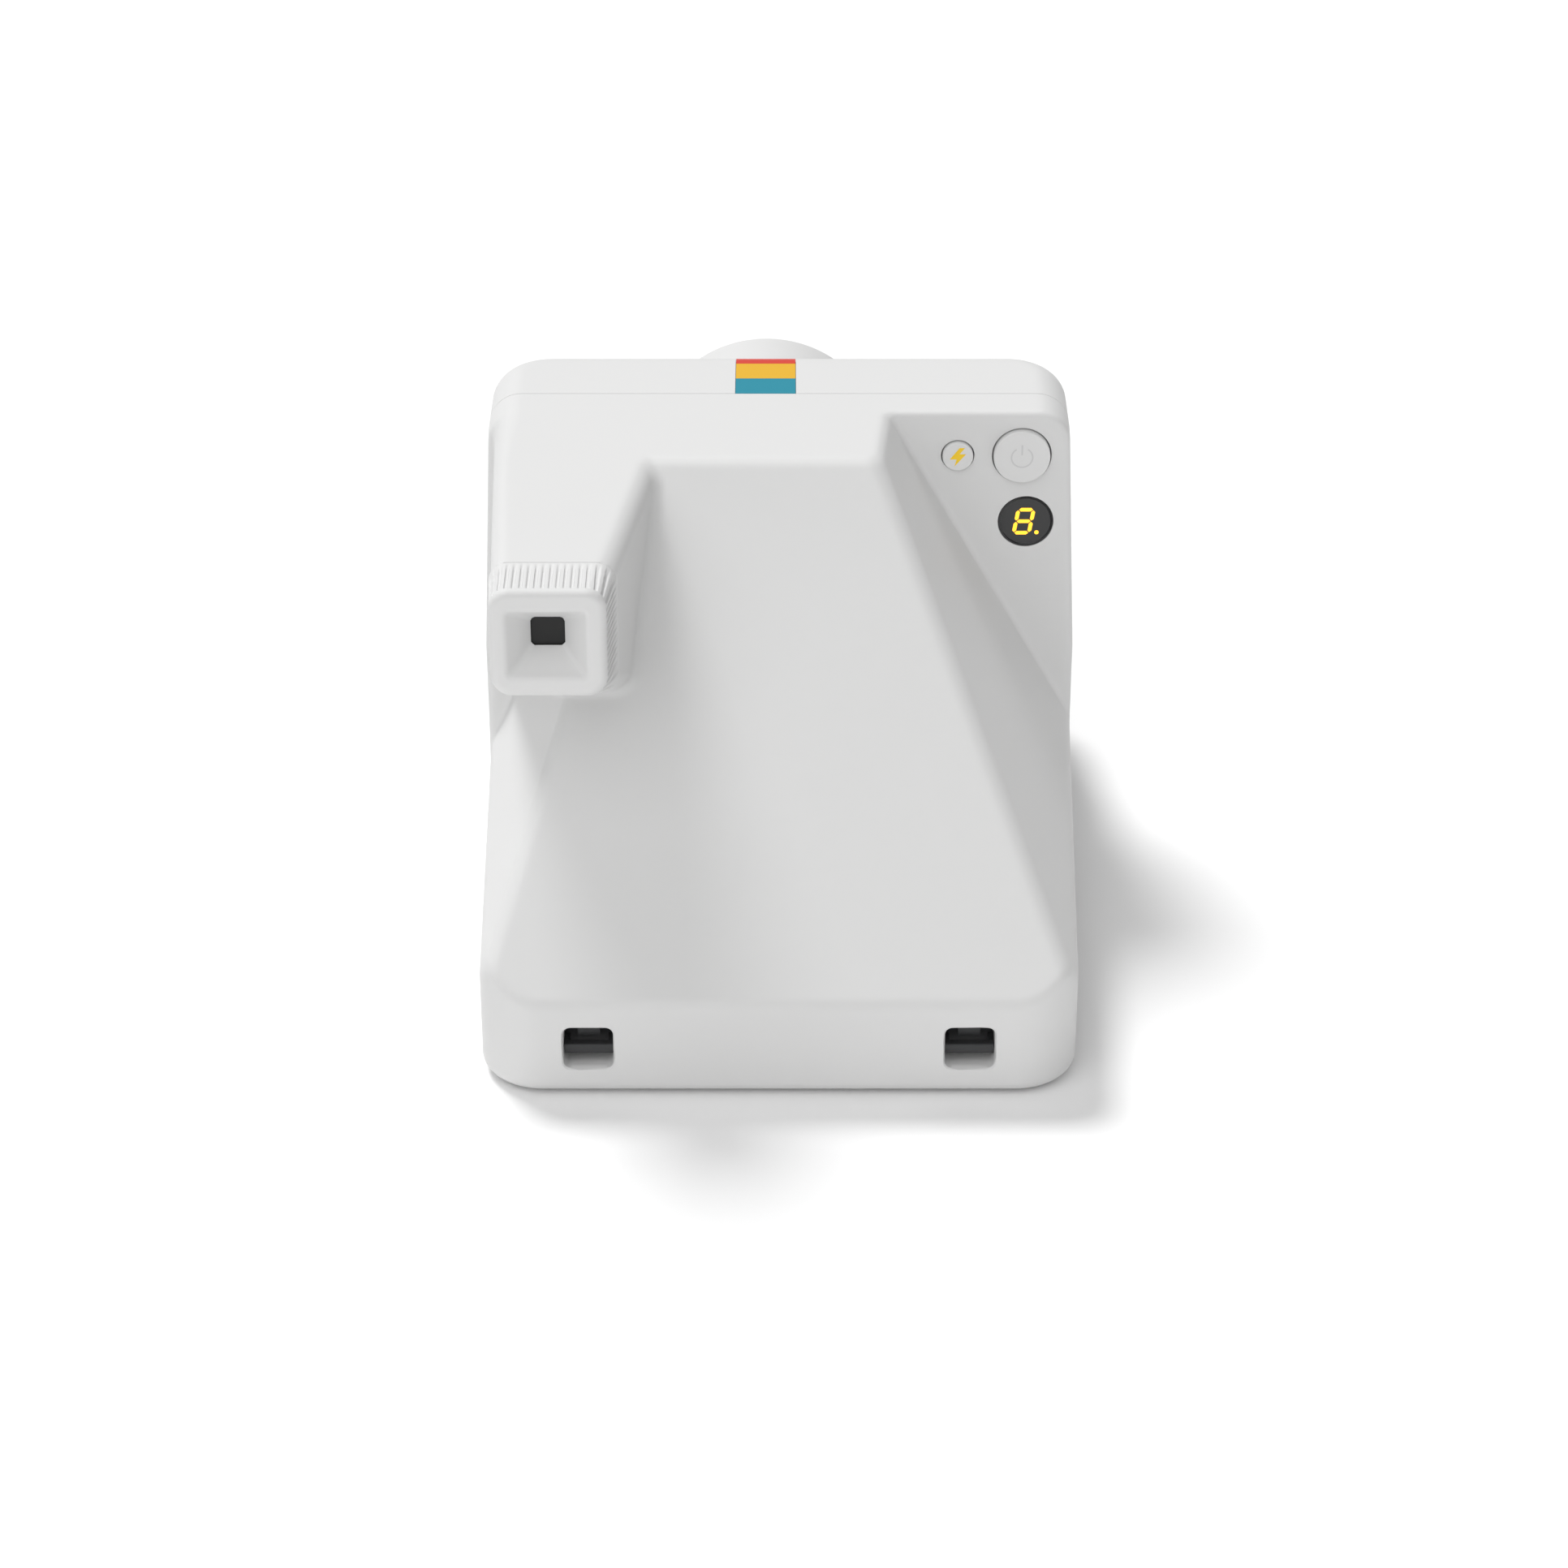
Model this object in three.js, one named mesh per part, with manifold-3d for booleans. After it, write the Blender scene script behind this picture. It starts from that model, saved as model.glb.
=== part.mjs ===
// Box-type instant camera: housings, film door with rollers, lens, finder, flash, film drive and buttons.
// Millimetres, +Z up, the lens faces -Y, the eyepiece faces +Y, the base rests on z = 0.
import * as THREE from "three";
import { ConvexGeometry } from "three/addons/geometries/ConvexGeometry.js";
import { mergeVertices } from "three/addons/utils/BufferGeometryUtils.js";
import Module from "manifold-3d";

const wasm = await Module();
wasm.setup();

// ---- driving dimensions -------------------------------------------------------------------------
const TOP = 94;                 // overall height
const FOOT = 0.8;               // height of the rubber feet
const WALL = 2.2;               // moulded wall thickness
const REAR_Y = 75;              // rear face
const CHIN_Y = -75;             // front of the film door
const FACE_Y = -44;             // flat front face around the lens
const SEAM_Y = -23.3;           // joint line between the front and rear housings
const SEAM_GAP = 0.12;          // half the gap along that line
const FACET_Y = -14.6;          // flat rear face of the head, which carries the buttons
const HALF_W = 57;              // half the overall width
const SHOULDER_Z = 44;          // above this each side leans in
const HEAD_DRAFT = 2.2;         // by this much at the top
const REAR_HALF_W = 53.6;       // half the width at the rear
const STRIP_Z = 19.6;           // top of the upright strip at the rear
const RIDGE_Y = 5.5;            // where the flat top meets the sloping back
const RIDGE_LOW_X = -18.6;      // ends of that edge
const RIDGE_HIGH_X = 26;
const DOOR_TOP = 30.5;          // top of the film door at the front face
const DOOR_Y = -44.3;           // rear plane of the film door
const LENS_X = 2.6;             // lens and film axis
const LENS_Z = 63;
const FINDER_X = 40.4;          // eyepiece centre
const FINDER_Z = 83.6;
const TUBE_END_Y = 58.6;        // rear face of the eyepiece
const CUP_Y = 47.2;             // front of the eyepiece cup
const BUTTON_Z = 85.2;          // height of the rear button row
const POWER = { x: -45.8, z: BUTTON_Z, r: 5.35 };
const FLASH_KEY = { x: -33.7, z: BUTTON_Z, r: 2.9 };
const DISPLAY = { x: -46.9, z: 71.3, r: 5.2 };
const SHUTTER = { x: -39, z: 54, r: 6.5 };
const TIMER = { x: 40, z: 54, r: 4 };
const FLASH_WINDOW = { x: -35, z: 79, w: 26, h: 15 };
const FINDER_WINDOW = { x: 40, z: 80, w: 13, h: 11 };
const SENSOR = { x: 22, z: 86.5, r: 2.4 };
const LATCH = { y: -35, z: 20, w: 10, h: 6 };
const STRAP = { x: 34.2, z: 10.5, w: 9, h: 8.6, depth: 7 };
const HINGE = { y: -47, z: 3.2 };
const ROLLER = { y: -51, low: 14.2, high: 22.6, r: 4 };
const SLOT = { z: 18.4, h: 3.2, w: 92 };
const PACK = { w: 90, y0: -44, y1: 64, z0: 4.2, z1: 17.2 };
const GEAR_X = -48.5;           // plane of the film drive gears
const PLAY = 0.3;               // running clearance round moving pieces

// ---- small geometry helpers ---------------------------------------------------------------------
// Maps the drawing plane of an extrusion onto the axis it runs along.
const AXES = {
  x: new THREE.Matrix4().makeBasis(new THREE.Vector3(0, 1, 0), new THREE.Vector3(0, 0, 1), new THREE.Vector3(1, 0, 0)),
  y: new THREE.Matrix4().makeBasis(new THREE.Vector3(1, 0, 0), new THREE.Vector3(0, 0, 1), new THREE.Vector3(0, -1, 0)),
  z: new THREE.Matrix4(),
};

// Points of a polygon whose corners [u, v, radius] are rounded with short arcs.
function roundedCorners(corners, steps = 5) {
  const points = [];
  corners.forEach(([u, v, radius = 0], i) => {
    const at = new THREE.Vector2(u, v);
    if (!radius) {
      points.push(at);
      return;
    }
    const before = corners[(i + corners.length - 1) % corners.length];
    const after = corners[(i + 1) % corners.length];
    const back = new THREE.Vector2(before[0] - u, before[1] - v).normalize();
    const ahead = new THREE.Vector2(after[0] - u, after[1] - v).normalize();
    const half = Math.acos(THREE.MathUtils.clamp(back.dot(ahead), -1, 1)) / 2;
    const centre = back.clone().add(ahead).normalize().multiplyScalar(radius / Math.sin(half)).add(at);
    const start = back.clone().multiplyScalar(radius / Math.tan(half)).add(at).sub(centre);
    const end = ahead.clone().multiplyScalar(radius / Math.tan(half)).add(at).sub(centre);
    const turn = Math.atan2(start.x * end.y - start.y * end.x, start.dot(end));
    for (let k = 0; k <= steps; k += 1) {
      const spoke = start.clone().rotateAround(new THREE.Vector2(), (turn * k) / steps);
      points.push(spoke.add(centre));
    }
  });
  return points;
}

function rectangle(u, v, w, h, radius = 0, steps = 4) {
  return roundedCorners([
    [u - w / 2, v - h / 2, radius],
    [u + w / 2, v - h / 2, radius],
    [u + w / 2, v + h / 2, radius],
    [u - w / 2, v + h / 2, radius],
  ], steps);
}

function circle(u, v, radius, steps = 28) {
  return Array.from({ length: steps }, (_, k) => {
    const angle = (2 * Math.PI * k) / steps;
    return new THREE.Vector2(u + radius * Math.cos(angle), v + radius * Math.sin(angle));
  });
}

function toSolid(geometry) {
  const bare = geometry.clone();
  bare.deleteAttribute("normal");
  bare.deleteAttribute("uv");
  const merged = mergeVertices(bare, 1e-4);
  return new wasm.Manifold(new wasm.Mesh({
    numProp: 3,
    vertProperties: new Float32Array(merged.attributes.position.array),
    triVerts: new Uint32Array(merged.index.array),
  }));
}

function toGeometry(solid) {
  const mesh = solid.getMesh();
  const geometry = new THREE.BufferGeometry();
  geometry.setAttribute("position", new THREE.BufferAttribute(new Float32Array(mesh.vertProperties), 3));
  geometry.setIndex(new THREE.BufferAttribute(new Uint32Array(mesh.triVerts), 1));
  return geometry;
}

// Closed prism of a point list, from one coordinate to a larger one along an axis.
function prism(axis, points, from, to) {
  const shape = new THREE.Shape(points);
  const geometry = new THREE.ExtrudeGeometry(shape, { depth: to - from, bevelEnabled: false });
  geometry.applyMatrix4(AXES[axis]);
  const shift = { x: [from, 0, 0], y: [0, to, 0], z: [0, 0, from] }[axis];
  geometry.translate(...shift);
  return toSolid(geometry);
}

function box(x, y, z) {
  const geometry = new THREE.BoxGeometry(x[1] - x[0], y[1] - y[0], z[1] - z[0]);
  geometry.translate((x[0] + x[1]) / 2, (y[0] + y[1]) / 2, (z[0] + z[1]) / 2);
  return toSolid(geometry);
}

function hull(points) {
  return toSolid(new ConvexGeometry(points.map((p) => new THREE.Vector3(...p))));
}

// Profile of a turned piece, put in the order that makes its faces point outwards.
function profilePoints(profile) {
  const points = profile.map(([r, along]) => new THREE.Vector2(r, along));
  return THREE.ShapeUtils.area(points) < 0 ? points.reverse() : points;
}

// Turned piece about a line along Y through (x, z); profile points are [radius, y].
function turnedY(x, z, profile, steps = 32) {
  const points = profilePoints(profile);
  const geometry = new THREE.LatheGeometry(points, steps);
  geometry.translate(x, 0, z);
  return toSolid(geometry);
}

// Turned piece about a line along X through (y, z); profile points are [radius, x].
function turnedX(y, z, profile, steps = 20) {
  const points = profilePoints(profile);
  const geometry = new THREE.LatheGeometry(points, steps);
  geometry.rotateZ(-Math.PI / 2);
  geometry.translate(0, y, z);
  return toSolid(geometry);
}

function join(first, ...others) {
  return others.reduce((sum, next) => sum.add(next), first);
}

function cut(first, ...others) {
  return others.reduce((rest, next) => rest.subtract(next), first);
}

function common(first, ...others) {
  return others.reduce((shared, next) => shared.intersect(next), first);
}

// ---- the outer form, drawn again smaller for its own inside --------------------------------------
// Inclined faces of the mirror housing, as outward normals with a point on each.
function plane(a, b, c, inside) {
  const [p, q, r] = [a, b, c].map((point) => new THREE.Vector3(...point));
  const made = new THREE.Plane().setFromCoplanarPoints(p, q, r);
  return made.distanceToPoint(new THREE.Vector3(...inside)) > 0 ? made.negate() : made;
}

const INSIDE = [0, 0, 30];
const SLOPE = plane([0, RIDGE_Y, TOP], [10, RIDGE_Y, TOP], [0, REAR_Y, STRIP_Z], INSIDE);
const LOW_SIDE = plane([RIDGE_LOW_X, RIDGE_Y, TOP], [-54.2, REAR_Y, STRIP_Z], [-46.2, FACET_Y, 48], INSIDE);
const HIGH_SIDE = plane([RIDGE_HIGH_X, RIDGE_Y, TOP], [54.6, REAR_Y, STRIP_Z], [52.3, FACET_Y, 32.8], INSIDE);

function meet(planes, inset) {
  const rows = planes.map((face) => face.normal);
  const m = new THREE.Matrix3().set(
    rows[0].x, rows[0].y, rows[0].z,
    rows[1].x, rows[1].y, rows[1].z,
    rows[2].x, rows[2].y, rows[2].z,
  ).invert();
  const v = new THREE.Vector3(...planes.map((face) => -face.constant - inset));
  return v.applyMatrix3(m).toArray();
}

function mirrorHousing(inset) {
  const up = (z) => new THREE.Plane(new THREE.Vector3(0, 0, 1), -(z + inset));
  const front = new THREE.Plane(new THREE.Vector3(0, -1, 0), -40 - inset);
  const top = up(TOP - inset);
  const low = up(2 - inset);
  const corners = [];
  for (const side of [LOW_SIDE, HIGH_SIDE]) {
    for (const level of [top, low]) {
      for (const end of [SLOPE, front]) corners.push(meet([side, level, end], inset));
    }
  }
  return hull(corners);
}

function planOutline(inset) {
  const corners = [
    [-REAR_HALF_W + inset, REAR_Y - inset, 11 - inset],
    [-HALF_W + inset, -20],
    [-HALF_W + inset, -46],
    [-52.5 + inset, CHIN_Y + inset, 14 - inset],
  ];
  const mirrored = corners.map(([x, y, r]) => [-x, y, r]).reverse();
  return roundedCorners([...corners, ...mirrored], 5);
}

function headPlan(inset) {
  const w = HALF_W - inset;
  return roundedCorners([
    [-w, FACE_Y + inset, 11 - inset],
    [w, FACE_Y + inset, 11 - inset],
    [w, FACET_Y - inset],
    [-w, FACET_Y - inset],
  ], 5);
}

function headFront(inset) {
  const w = HALF_W - inset;
  return roundedCorners([
    [-w, 0],
    [w, 0],
    [w, SHOULDER_Z],
    [w - HEAD_DRAFT, TOP - inset, 9 - inset],
    [-w + HEAD_DRAFT, TOP - inset, 9 - inset],
    [-w, SHOULDER_Z],
  ], 5);
}

function headSide(inset) {
  return roundedCorners([
    [FACE_Y + inset, 0],
    [FACET_Y - inset, 0],
    [FACET_Y - inset, TOP - inset],
    [FACE_Y + inset, TOP - inset, 5.5 - inset],
  ], 3);
}

function tubeSection(y, inset) {
  const t = (y - FACET_Y) / (TUBE_END_Y - FACET_Y);
  const low = THREE.MathUtils.lerp(19.5, 30.1, t) + inset;
  const high = THREE.MathUtils.lerp(54.4, 50.3, t) - inset;
  const floor = THREE.MathUtils.lerp(37.3, 73.7, t) + inset;
  const roof = TOP - 0.05 - inset;
  const ring = rectangle((low + high) / 2, (floor + roof) / 2, high - low, roof - floor, 3.6 - inset / 2, 3);
  return ring.map((p) => [p.x, y, p.y]);
}

function tube(from, to, inset) {
  return hull([...tubeSection(from, inset), ...tubeSection(to, inset)]);
}

function baseSide(inset, bottom) {
  return roundedCorners([
    [CHIN_Y + 1 + inset, bottom, 2.5],
    [REAR_Y - inset, bottom, 2.5],
    [REAR_Y - inset, STRIP_Z - 0.5],
    [-40, STRIP_Z - 0.5],
    [-40, DOOR_TOP - inset],
    [-63, 29.5 - inset, 8 - inset],
    [CHIN_Y + inset, 23 - inset, 6 - inset],
  ], 4);
}

function outerForm(inset, bottom) {
  const plan = prism("z", planOutline(inset), -5, 110);
  const base = common(prism("x", baseSide(inset, bottom), -70, 70), plan);
  const head = common(
    prism("x", headSide(inset), -70, 70),
    prism("z", headPlan(inset), bottom, 110),
    prism("y", headFront(inset), -60, 20),
  );
  const mirrorBox = common(mirrorHousing(inset), plan);
  const above = box([-70, 70], [-90, 90], [bottom, 120]);
  const finder = tube(FACET_Y - 4, CUP_Y - 0.2, inset);
  return common(join(base, head, mirrorBox, finder), above);
}

const SOLID_FORM = outerForm(0, FOOT);
const SHELL = cut(SOLID_FORM, outerForm(WALL, -4));
const EVERYWHERE = [-200, 200];

// ---- housings -----------------------------------------------------------------------------------
function holeY(spec, clearance, from, to) {
  return prism("y", circle(spec.x, spec.z, spec.r + clearance, 32), from, to);
}

function windowHole(spec, clearance) {
  const outline = rectangle(spec.x, spec.z, spec.w + clearance, spec.h + clearance, 2.5);
  return prism("y", outline, FACE_Y - 1, FACE_Y + WALL + 1);
}

function frontHousing() {
  const region = box([-70, 70], [-50, SEAM_Y - SEAM_GAP], [0, 120]);
  const doorway = box(EVERYWHERE, [-90, DOOR_Y + 0.35], [-5, DOOR_TOP + 0.3]);
  const filmWay = box([-50.5, 50.5], [-60, -41], [-5, 27.5]);
  const latchHole = prism("x", rectangle(LATCH.y, LATCH.z, LATCH.w + 0.6, LATCH.h + 0.6, 1.5), 50, 60);
  return cut(
    common(SHELL, region),
    doorway,
    filmWay,
    latchHole,
    prism("y", circle(LENS_X, LENS_Z, 19.9, 40), -50, -40),
    windowHole(FLASH_WINDOW, 0.2),
    windowHole(FINDER_WINDOW, 0.2),
    holeY(SENSOR, 0.1, -50, -40),
    holeY(SHUTTER, PLAY, -50, -40),
    holeY(TIMER, PLAY, -50, -40),
    inlay(0.1),
  );
}

function strapWell(side, margin, depth) {
  const outline = rectangle(side * STRAP.x, STRAP.z, STRAP.w + 2 * margin, STRAP.h + 2 * margin, 1.5);
  return prism("y", outline, REAR_Y - depth, REAR_Y + (margin ? -0.5 : 1));
}

function rearHousing() {
  const region = box([-70, 70], [SEAM_Y + SEAM_GAP, 90], [0, 120]);
  const port = box([-60, -50], [-8.2, 0.2], [7.8, 11.6]);
  const walls = join(
    common(SHELL, region),
    strapWell(-1, 1.2, STRAP.depth + 1.2),
    strapWell(1, 1.2, STRAP.depth + 1.2),
  );
  return cut(
    walls,
    strapWell(-1, 0, STRAP.depth),
    strapWell(1, 0, STRAP.depth),
    port,
    holeY(POWER, PLAY, -30, -10),
    holeY(FLASH_KEY, PLAY, -30, -10),
    holeY(DISPLAY, 0.1, -30, -10),
    prism("y", rectangle(FINDER_X, FINDER_Z, 11, 10.4), CUP_Y - 6, CUP_Y + 2),
  );
}

function bottomCover() {
  const plate = common(
    prism("z", planOutline(WALL + 0.35), FOOT + 0.1, 2.8),
    box([-60, 60], [FACE_Y + 0.2, 80], [0, 10]),
  );
  const ears = [-1, 1].map((side) => {
    const x = [side * 50.2, side * 51.8].sort((a, b) => a - b);
    return box(x, [HINGE.y - 1.5, FACE_Y + 2], [1.6, 4.8]);
  });
  const pins = prism("x", circle(HINGE.y, HINGE.z, 1.1, 16), -60, 60);
  return cut(join(plate, ...ears), pins, ...SCREWS.map(([x, y]) => prism("z", circle(x, y, 2.5, 16), 0, 1.9)));
}

const FEET = [[-42, 62], [42, 62], [-42, -32], [42, -32]];
const SCREWS = [[-30, 66], [30, 66], [-30, -36], [30, -36]];

function foot([x, y]) {
  return prism("z", circle(x, y, 4, 24), 0, FOOT + 0.05);
}

function screw([x, y]) {
  return prism("z", circle(x, y, 2.2, 16), 1.0, 1.85);
}

// ---- film door, which carries the rollers --------------------------------------------------------
function filmDoor() {
  const region = box([-70, 70], [-90, DOOR_Y], [0, DOOR_TOP + 5]);
  const hollow = common(outerForm(WALL, FOOT + WALL), box([-70, 70], [-90, -40], [-5, 40]));
  const corner = box(EVERYWHERE, [HINGE.y, -40], [-5, HINGE.z]);
  const slot = box([LENS_X - SLOT.w / 2, LENS_X + SLOT.w / 2], [-90, -70], [SLOT.z - SLOT.h / 2, SLOT.z + SLOT.h / 2]);
  const knuckles = [-1, 1].map((side) => {
    const x = [side * 45, side * 49.6].sort((a, b) => a - b);
    return prism("x", circle(HINGE.y, HINGE.z, 2.3, 20), x[0], x[1]);
  });
  const pockets = [-1, 1].map((side) => {
    const x = [side * 49.8, side * 52.3].sort((a, b) => a - b);
    return box(x, [-50.2, -40], [-5, 7]);
  });
  const shell = cut(common(SOLID_FORM, region), hollow, corner, slot, ...pockets);
  return cut(join(shell, ...knuckles), prism("x", circle(HINGE.y, HINGE.z, 1.15, 16), -60, 60));
}

function hingePin(side) {
  const x = [side * 45.4, side * 52].sort((a, b) => a - b);
  return prism("x", circle(HINGE.y, HINGE.z, 1.0, 16), x[0], x[1]);
}

function rollerFrame() {
  const plates = [-1, 1].map((side) => {
    const x = [side * 50.8, side * 52].sort((a, b) => a - b);
    return box(x, [-57.5, -47.2], [8.5, 26.5]);
  });
  const bar = box([-51.5, 51.5], [-57.5, -56], [20.6, 26]);
  const shafts = [ROLLER.low, ROLLER.high].map((z) => prism("x", circle(ROLLER.y, z, 1.55, 16), -60, 60));
  return cut(join(bar, ...plates), ...shafts);
}

function roller(z) {
  return turnedX(ROLLER.y, z, [
    [0, -51.9], [1.4, -51.9], [1.4, -44], [ROLLER.r, -44],
    [ROLLER.r, 49], [1.4, 49], [1.4, 51.9], [0, 51.9],
  ]);
}

function filmShield() {
  const roll = prism("x", circle(-64.5, 22.4, 1.8, 16), LENS_X - 45, LENS_X + 45);
  const flap = box([LENS_X - 44, LENS_X + 44], [-69.5, -64.5], [20.6, 21.2]);
  return join(roll, flap);
}

// Toothed disc about a line along X; teeth are plain trapezoids.
function gear(y, z, tipRadius, teeth, bore) {
  const points = [];
  const rootRadius = tipRadius - 0.8;
  for (let k = 0; k < teeth; k += 1) {
    const start = (2 * Math.PI * k) / teeth;
    const step = (2 * Math.PI) / teeth;
    for (const [r, f] of [[rootRadius, 0.0], [tipRadius, 0.18], [tipRadius, 0.42], [rootRadius, 0.6]]) {
      const angle = start + f * step;
      points.push(new THREE.Vector2(y + r * Math.cos(angle), z + r * Math.sin(angle)));
    }
  }
  const disc = prism("x", points, GEAR_X - 1.4, GEAR_X + 1.4);
  return bore ? cut(disc, prism("x", circle(y, z, bore, 16), -60, 0)) : disc;
}

// ---- lens, shutter and focus ---------------------------------------------------------------------
function lensBarrel() {
  return turnedY(LENS_X, LENS_Z, [
    [18, -67.2], [19, -68], [22.3, -68], [22.9, -67.4], [24.6, -44.1], [19.7, -44.1], [19.7, -40.6],
    [18, -40.6], [18, -67.2],
  ], 44);
}

function lensBezel() {
  return turnedY(LENS_X, LENS_Z, [
    [9.2, -61.4], [16.9, -65.4], [17.8, -65.4], [17.8, -59], [12.2, -59], [12.2, -59.8], [9.2, -59.8], [9.2, -61.4],
  ]);
}

function frontLens() {
  return turnedY(LENS_X, LENS_Z, [
    [0, -63], [3.2, -62.8], [6.2, -62.1], [9, -61], [9, -60], [6, -59], [0, -58.4],
  ]);
}

function lensTube() {
  return turnedY(LENS_X, LENS_Z, [
    [10, -58.6], [12, -58.6], [12, -45], [17.8, -45], [17.8, -41], [12, -39], [10, -39], [10, -58.6],
  ]);
}

function shutterPlate() {
  return turnedY(LENS_X, LENS_Z, [[4.5, -38.6], [15, -38.6], [15, -37.4], [4.5, -37.4], [4.5, -38.6]]);
}

const BLADE_PIVOT_X = LENS_X + 12;

function shutterBlade() {
  const head = prism("y", circle(LENS_X, LENS_Z, 6, 20), -36.8, -36.2);
  const arm = box([LENS_X + 4, BLADE_PIVOT_X], [-36.8, -36.2], [LENS_Z - 1.6, LENS_Z + 1.6]);
  const eye = prism("y", circle(BLADE_PIVOT_X, LENS_Z, 2.4, 16), -36.8, -36.2);
  return join(head, arm, eye);
}

function focusCarriage() {
  return turnedY(LENS_X, LENS_Z, [
    [7.1, -35], [12.6, -35], [12.6, -31.6], [6.2, -31.6], [6.2, -32.4], [7.1, -32.4], [7.1, -35],
  ]);
}

function rearLens() {
  return turnedY(LENS_X, LENS_Z, [[0, -35.3], [4, -34.9], [7, -34], [7, -32.5], [0, -32.5]], 24);
}

// ---- finder --------------------------------------------------------------------------------------
const FINDER_END_Y = CUP_Y + 3;
const WINDOW_Y = TUBE_END_Y - 5.7;   // rear of the eyepiece window's seat

function finderRing(y, w, h) {
  const t = (y + 41.6) / (FINDER_END_Y + 41.6);
  const x = THREE.MathUtils.lerp(FINDER_WINDOW.x, FINDER_X, t);
  const z = THREE.MathUtils.lerp(FINDER_WINDOW.z, FINDER_Z, t);
  return rectangle(x, z, w, h).map((p) => [p.x, y, p.y]);
}

function finderTube() {
  const outside = hull([...finderRing(-40.8, 14, 12), ...finderRing(FINDER_END_Y, 9.4, 8.8)]);
  const inside = hull([...finderRing(-43, 12, 10), ...finderRing(FINDER_END_Y + 0.8, 7.4, 6.8)]);
  return cut(outside, inside);
}

function eyepieceCup() {
  const mouth = rectangle(FINDER_X, FINDER_Z, 14.4, 13.2, 2, 3).map((p) => [p.x, TUBE_END_Y + 0.01, p.y]);
  const throat = rectangle(FINDER_X, FINDER_Z, 6.4, 6, 1, 3).map((p) => [p.x, WINDOW_Y, p.y]);
  const seat = prism("y", rectangle(FINDER_X, FINDER_Z, 9, 8.4), WINDOW_Y - 2, WINDOW_Y + 0.01);
  const bore = prism("y", rectangle(FINDER_X, FINDER_Z, 10, 9.4), CUP_Y - 1, WINDOW_Y - 1.99);
  return cut(tube(CUP_Y, TUBE_END_Y, 0), hull([...mouth, ...throat]), seat, bore);
}

function eyepieceWindow() {
  return prism("y", rectangle(FINDER_X, FINDER_Z, 8.9, 8.3), WINDOW_Y - 1.8, WINDOW_Y - 0.1);
}

function frontWindow(spec) {
  return prism("y", rectangle(spec.x, spec.z, spec.w, spec.h, 2.4), FACE_Y + 0.2, FACE_Y + 1.8);
}

// ---- flash, sensor, buttons and display ----------------------------------------------------------
function flashReflector() {
  const shell = box([-47.5, -22.5], [-41.7, -31], [72.2, 85.8]);
  const ring = (y, w, h) => rectangle(FLASH_WINDOW.x, FLASH_WINDOW.z, w, h).map((p) => [p.x, y, p.y]);
  return cut(shell, hull([...ring(-42, 23.5, 12.2), ...ring(-33, 20, 4)]));
}

function flashLamp() {
  return prism("x", circle(-35.4, FLASH_WINDOW.z, 1.4, 14), FLASH_WINDOW.x - 9.6, FLASH_WINDOW.x + 9.6);
}

function roundKey(spec, faceY, into, proud, flange) {
  const y = (depth) => faceY + into * depth;
  return turnedY(spec.x, spec.z, [
    [0, y(-proud)], [spec.r - 0.5, y(-proud)], [spec.r, y(-proud + 0.5)], [spec.r, y(WALL + 0.25)],
    [spec.r + flange, y(WALL + 0.25)], [spec.r + flange, y(WALL + 1)], [1.6, y(WALL + 1)],
    [1.6, y(WALL + 2)], [0, y(WALL + 2)],
  ]);
}

function displayWindow() {
  return turnedY(DISPLAY.x, DISPLAY.z, [[0, FACET_Y - 1.6], [DISPLAY.r, FACET_Y - 1.6], [DISPLAY.r, FACET_Y - 0.1],
    [0, FACET_Y - 0.1]]);
}

function latchKey() {
  const face = prism("x", rectangle(LATCH.y, LATCH.z, LATCH.w, LATCH.h, 1.3), HALF_W - 4, HALF_W + 0.3);
  const flangeShape = rectangle(LATCH.y + 0.5, LATCH.z - 1, LATCH.w + 3, LATCH.h + 1, 1.3);
  const flange = prism("x", flangeShape, HALF_W - 4.2, HALF_W - 2.6);
  return join(face, flange);
}

function inlay(margin) {
  const w = 11.4 + 2 * margin;
  const ends = [-41.5 - margin, SEAM_Y - SEAM_GAP + (margin ? 1 : -0.1)];
  return box([LENS_X - w / 2, LENS_X + w / 2], ends, [TOP - 0.6 - margin, TOP + (margin ? 1 : 0)]);
}

function strapLug(side) {
  const x = (half) => [side * STRAP.x - half, side * STRAP.x + half];
  const back = prism("y", rectangle(side * STRAP.x, STRAP.z, 8.6, 7.8, 1.3), 68.1, 68.9);
  const bar = box(x(4.4), [71.4, 73.2], [STRAP.z - 2.2, STRAP.z - 0.3]);
  const cheeks = [-1, 1].map((end) => {
    const middle = side * STRAP.x + end * 3.95;
    return box([middle - 0.45, middle + 0.45], [68.5, 73], [STRAP.z - 2.2, STRAP.z - 0.3]);
  });
  const tab = box(x(2), [68.5, 71], [STRAP.z + 0.1, STRAP.z + 2.2]);
  return join(back, bar, ...cheeks, tab);
}

// ---- inside --------------------------------------------------------------------------------------
function mirror() {
  const at = (x, z, gap) => [x, REAR_Y + STRIP_Z - gap * Math.SQRT2 - z, z];
  const outline = [[-35, 26.5], [40, 26.5], [17.5, 81.5], [-12.5, 81.5]];
  return hull([
    ...outline.map(([x, z]) => at(x, z, 3.2)),
    ...outline.map(([x, z]) => [x, at(x, z, 3.2)[1] - 1.6 * Math.SQRT1_2, z - 1.6 * Math.SQRT1_2]),
  ]);
}

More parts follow.
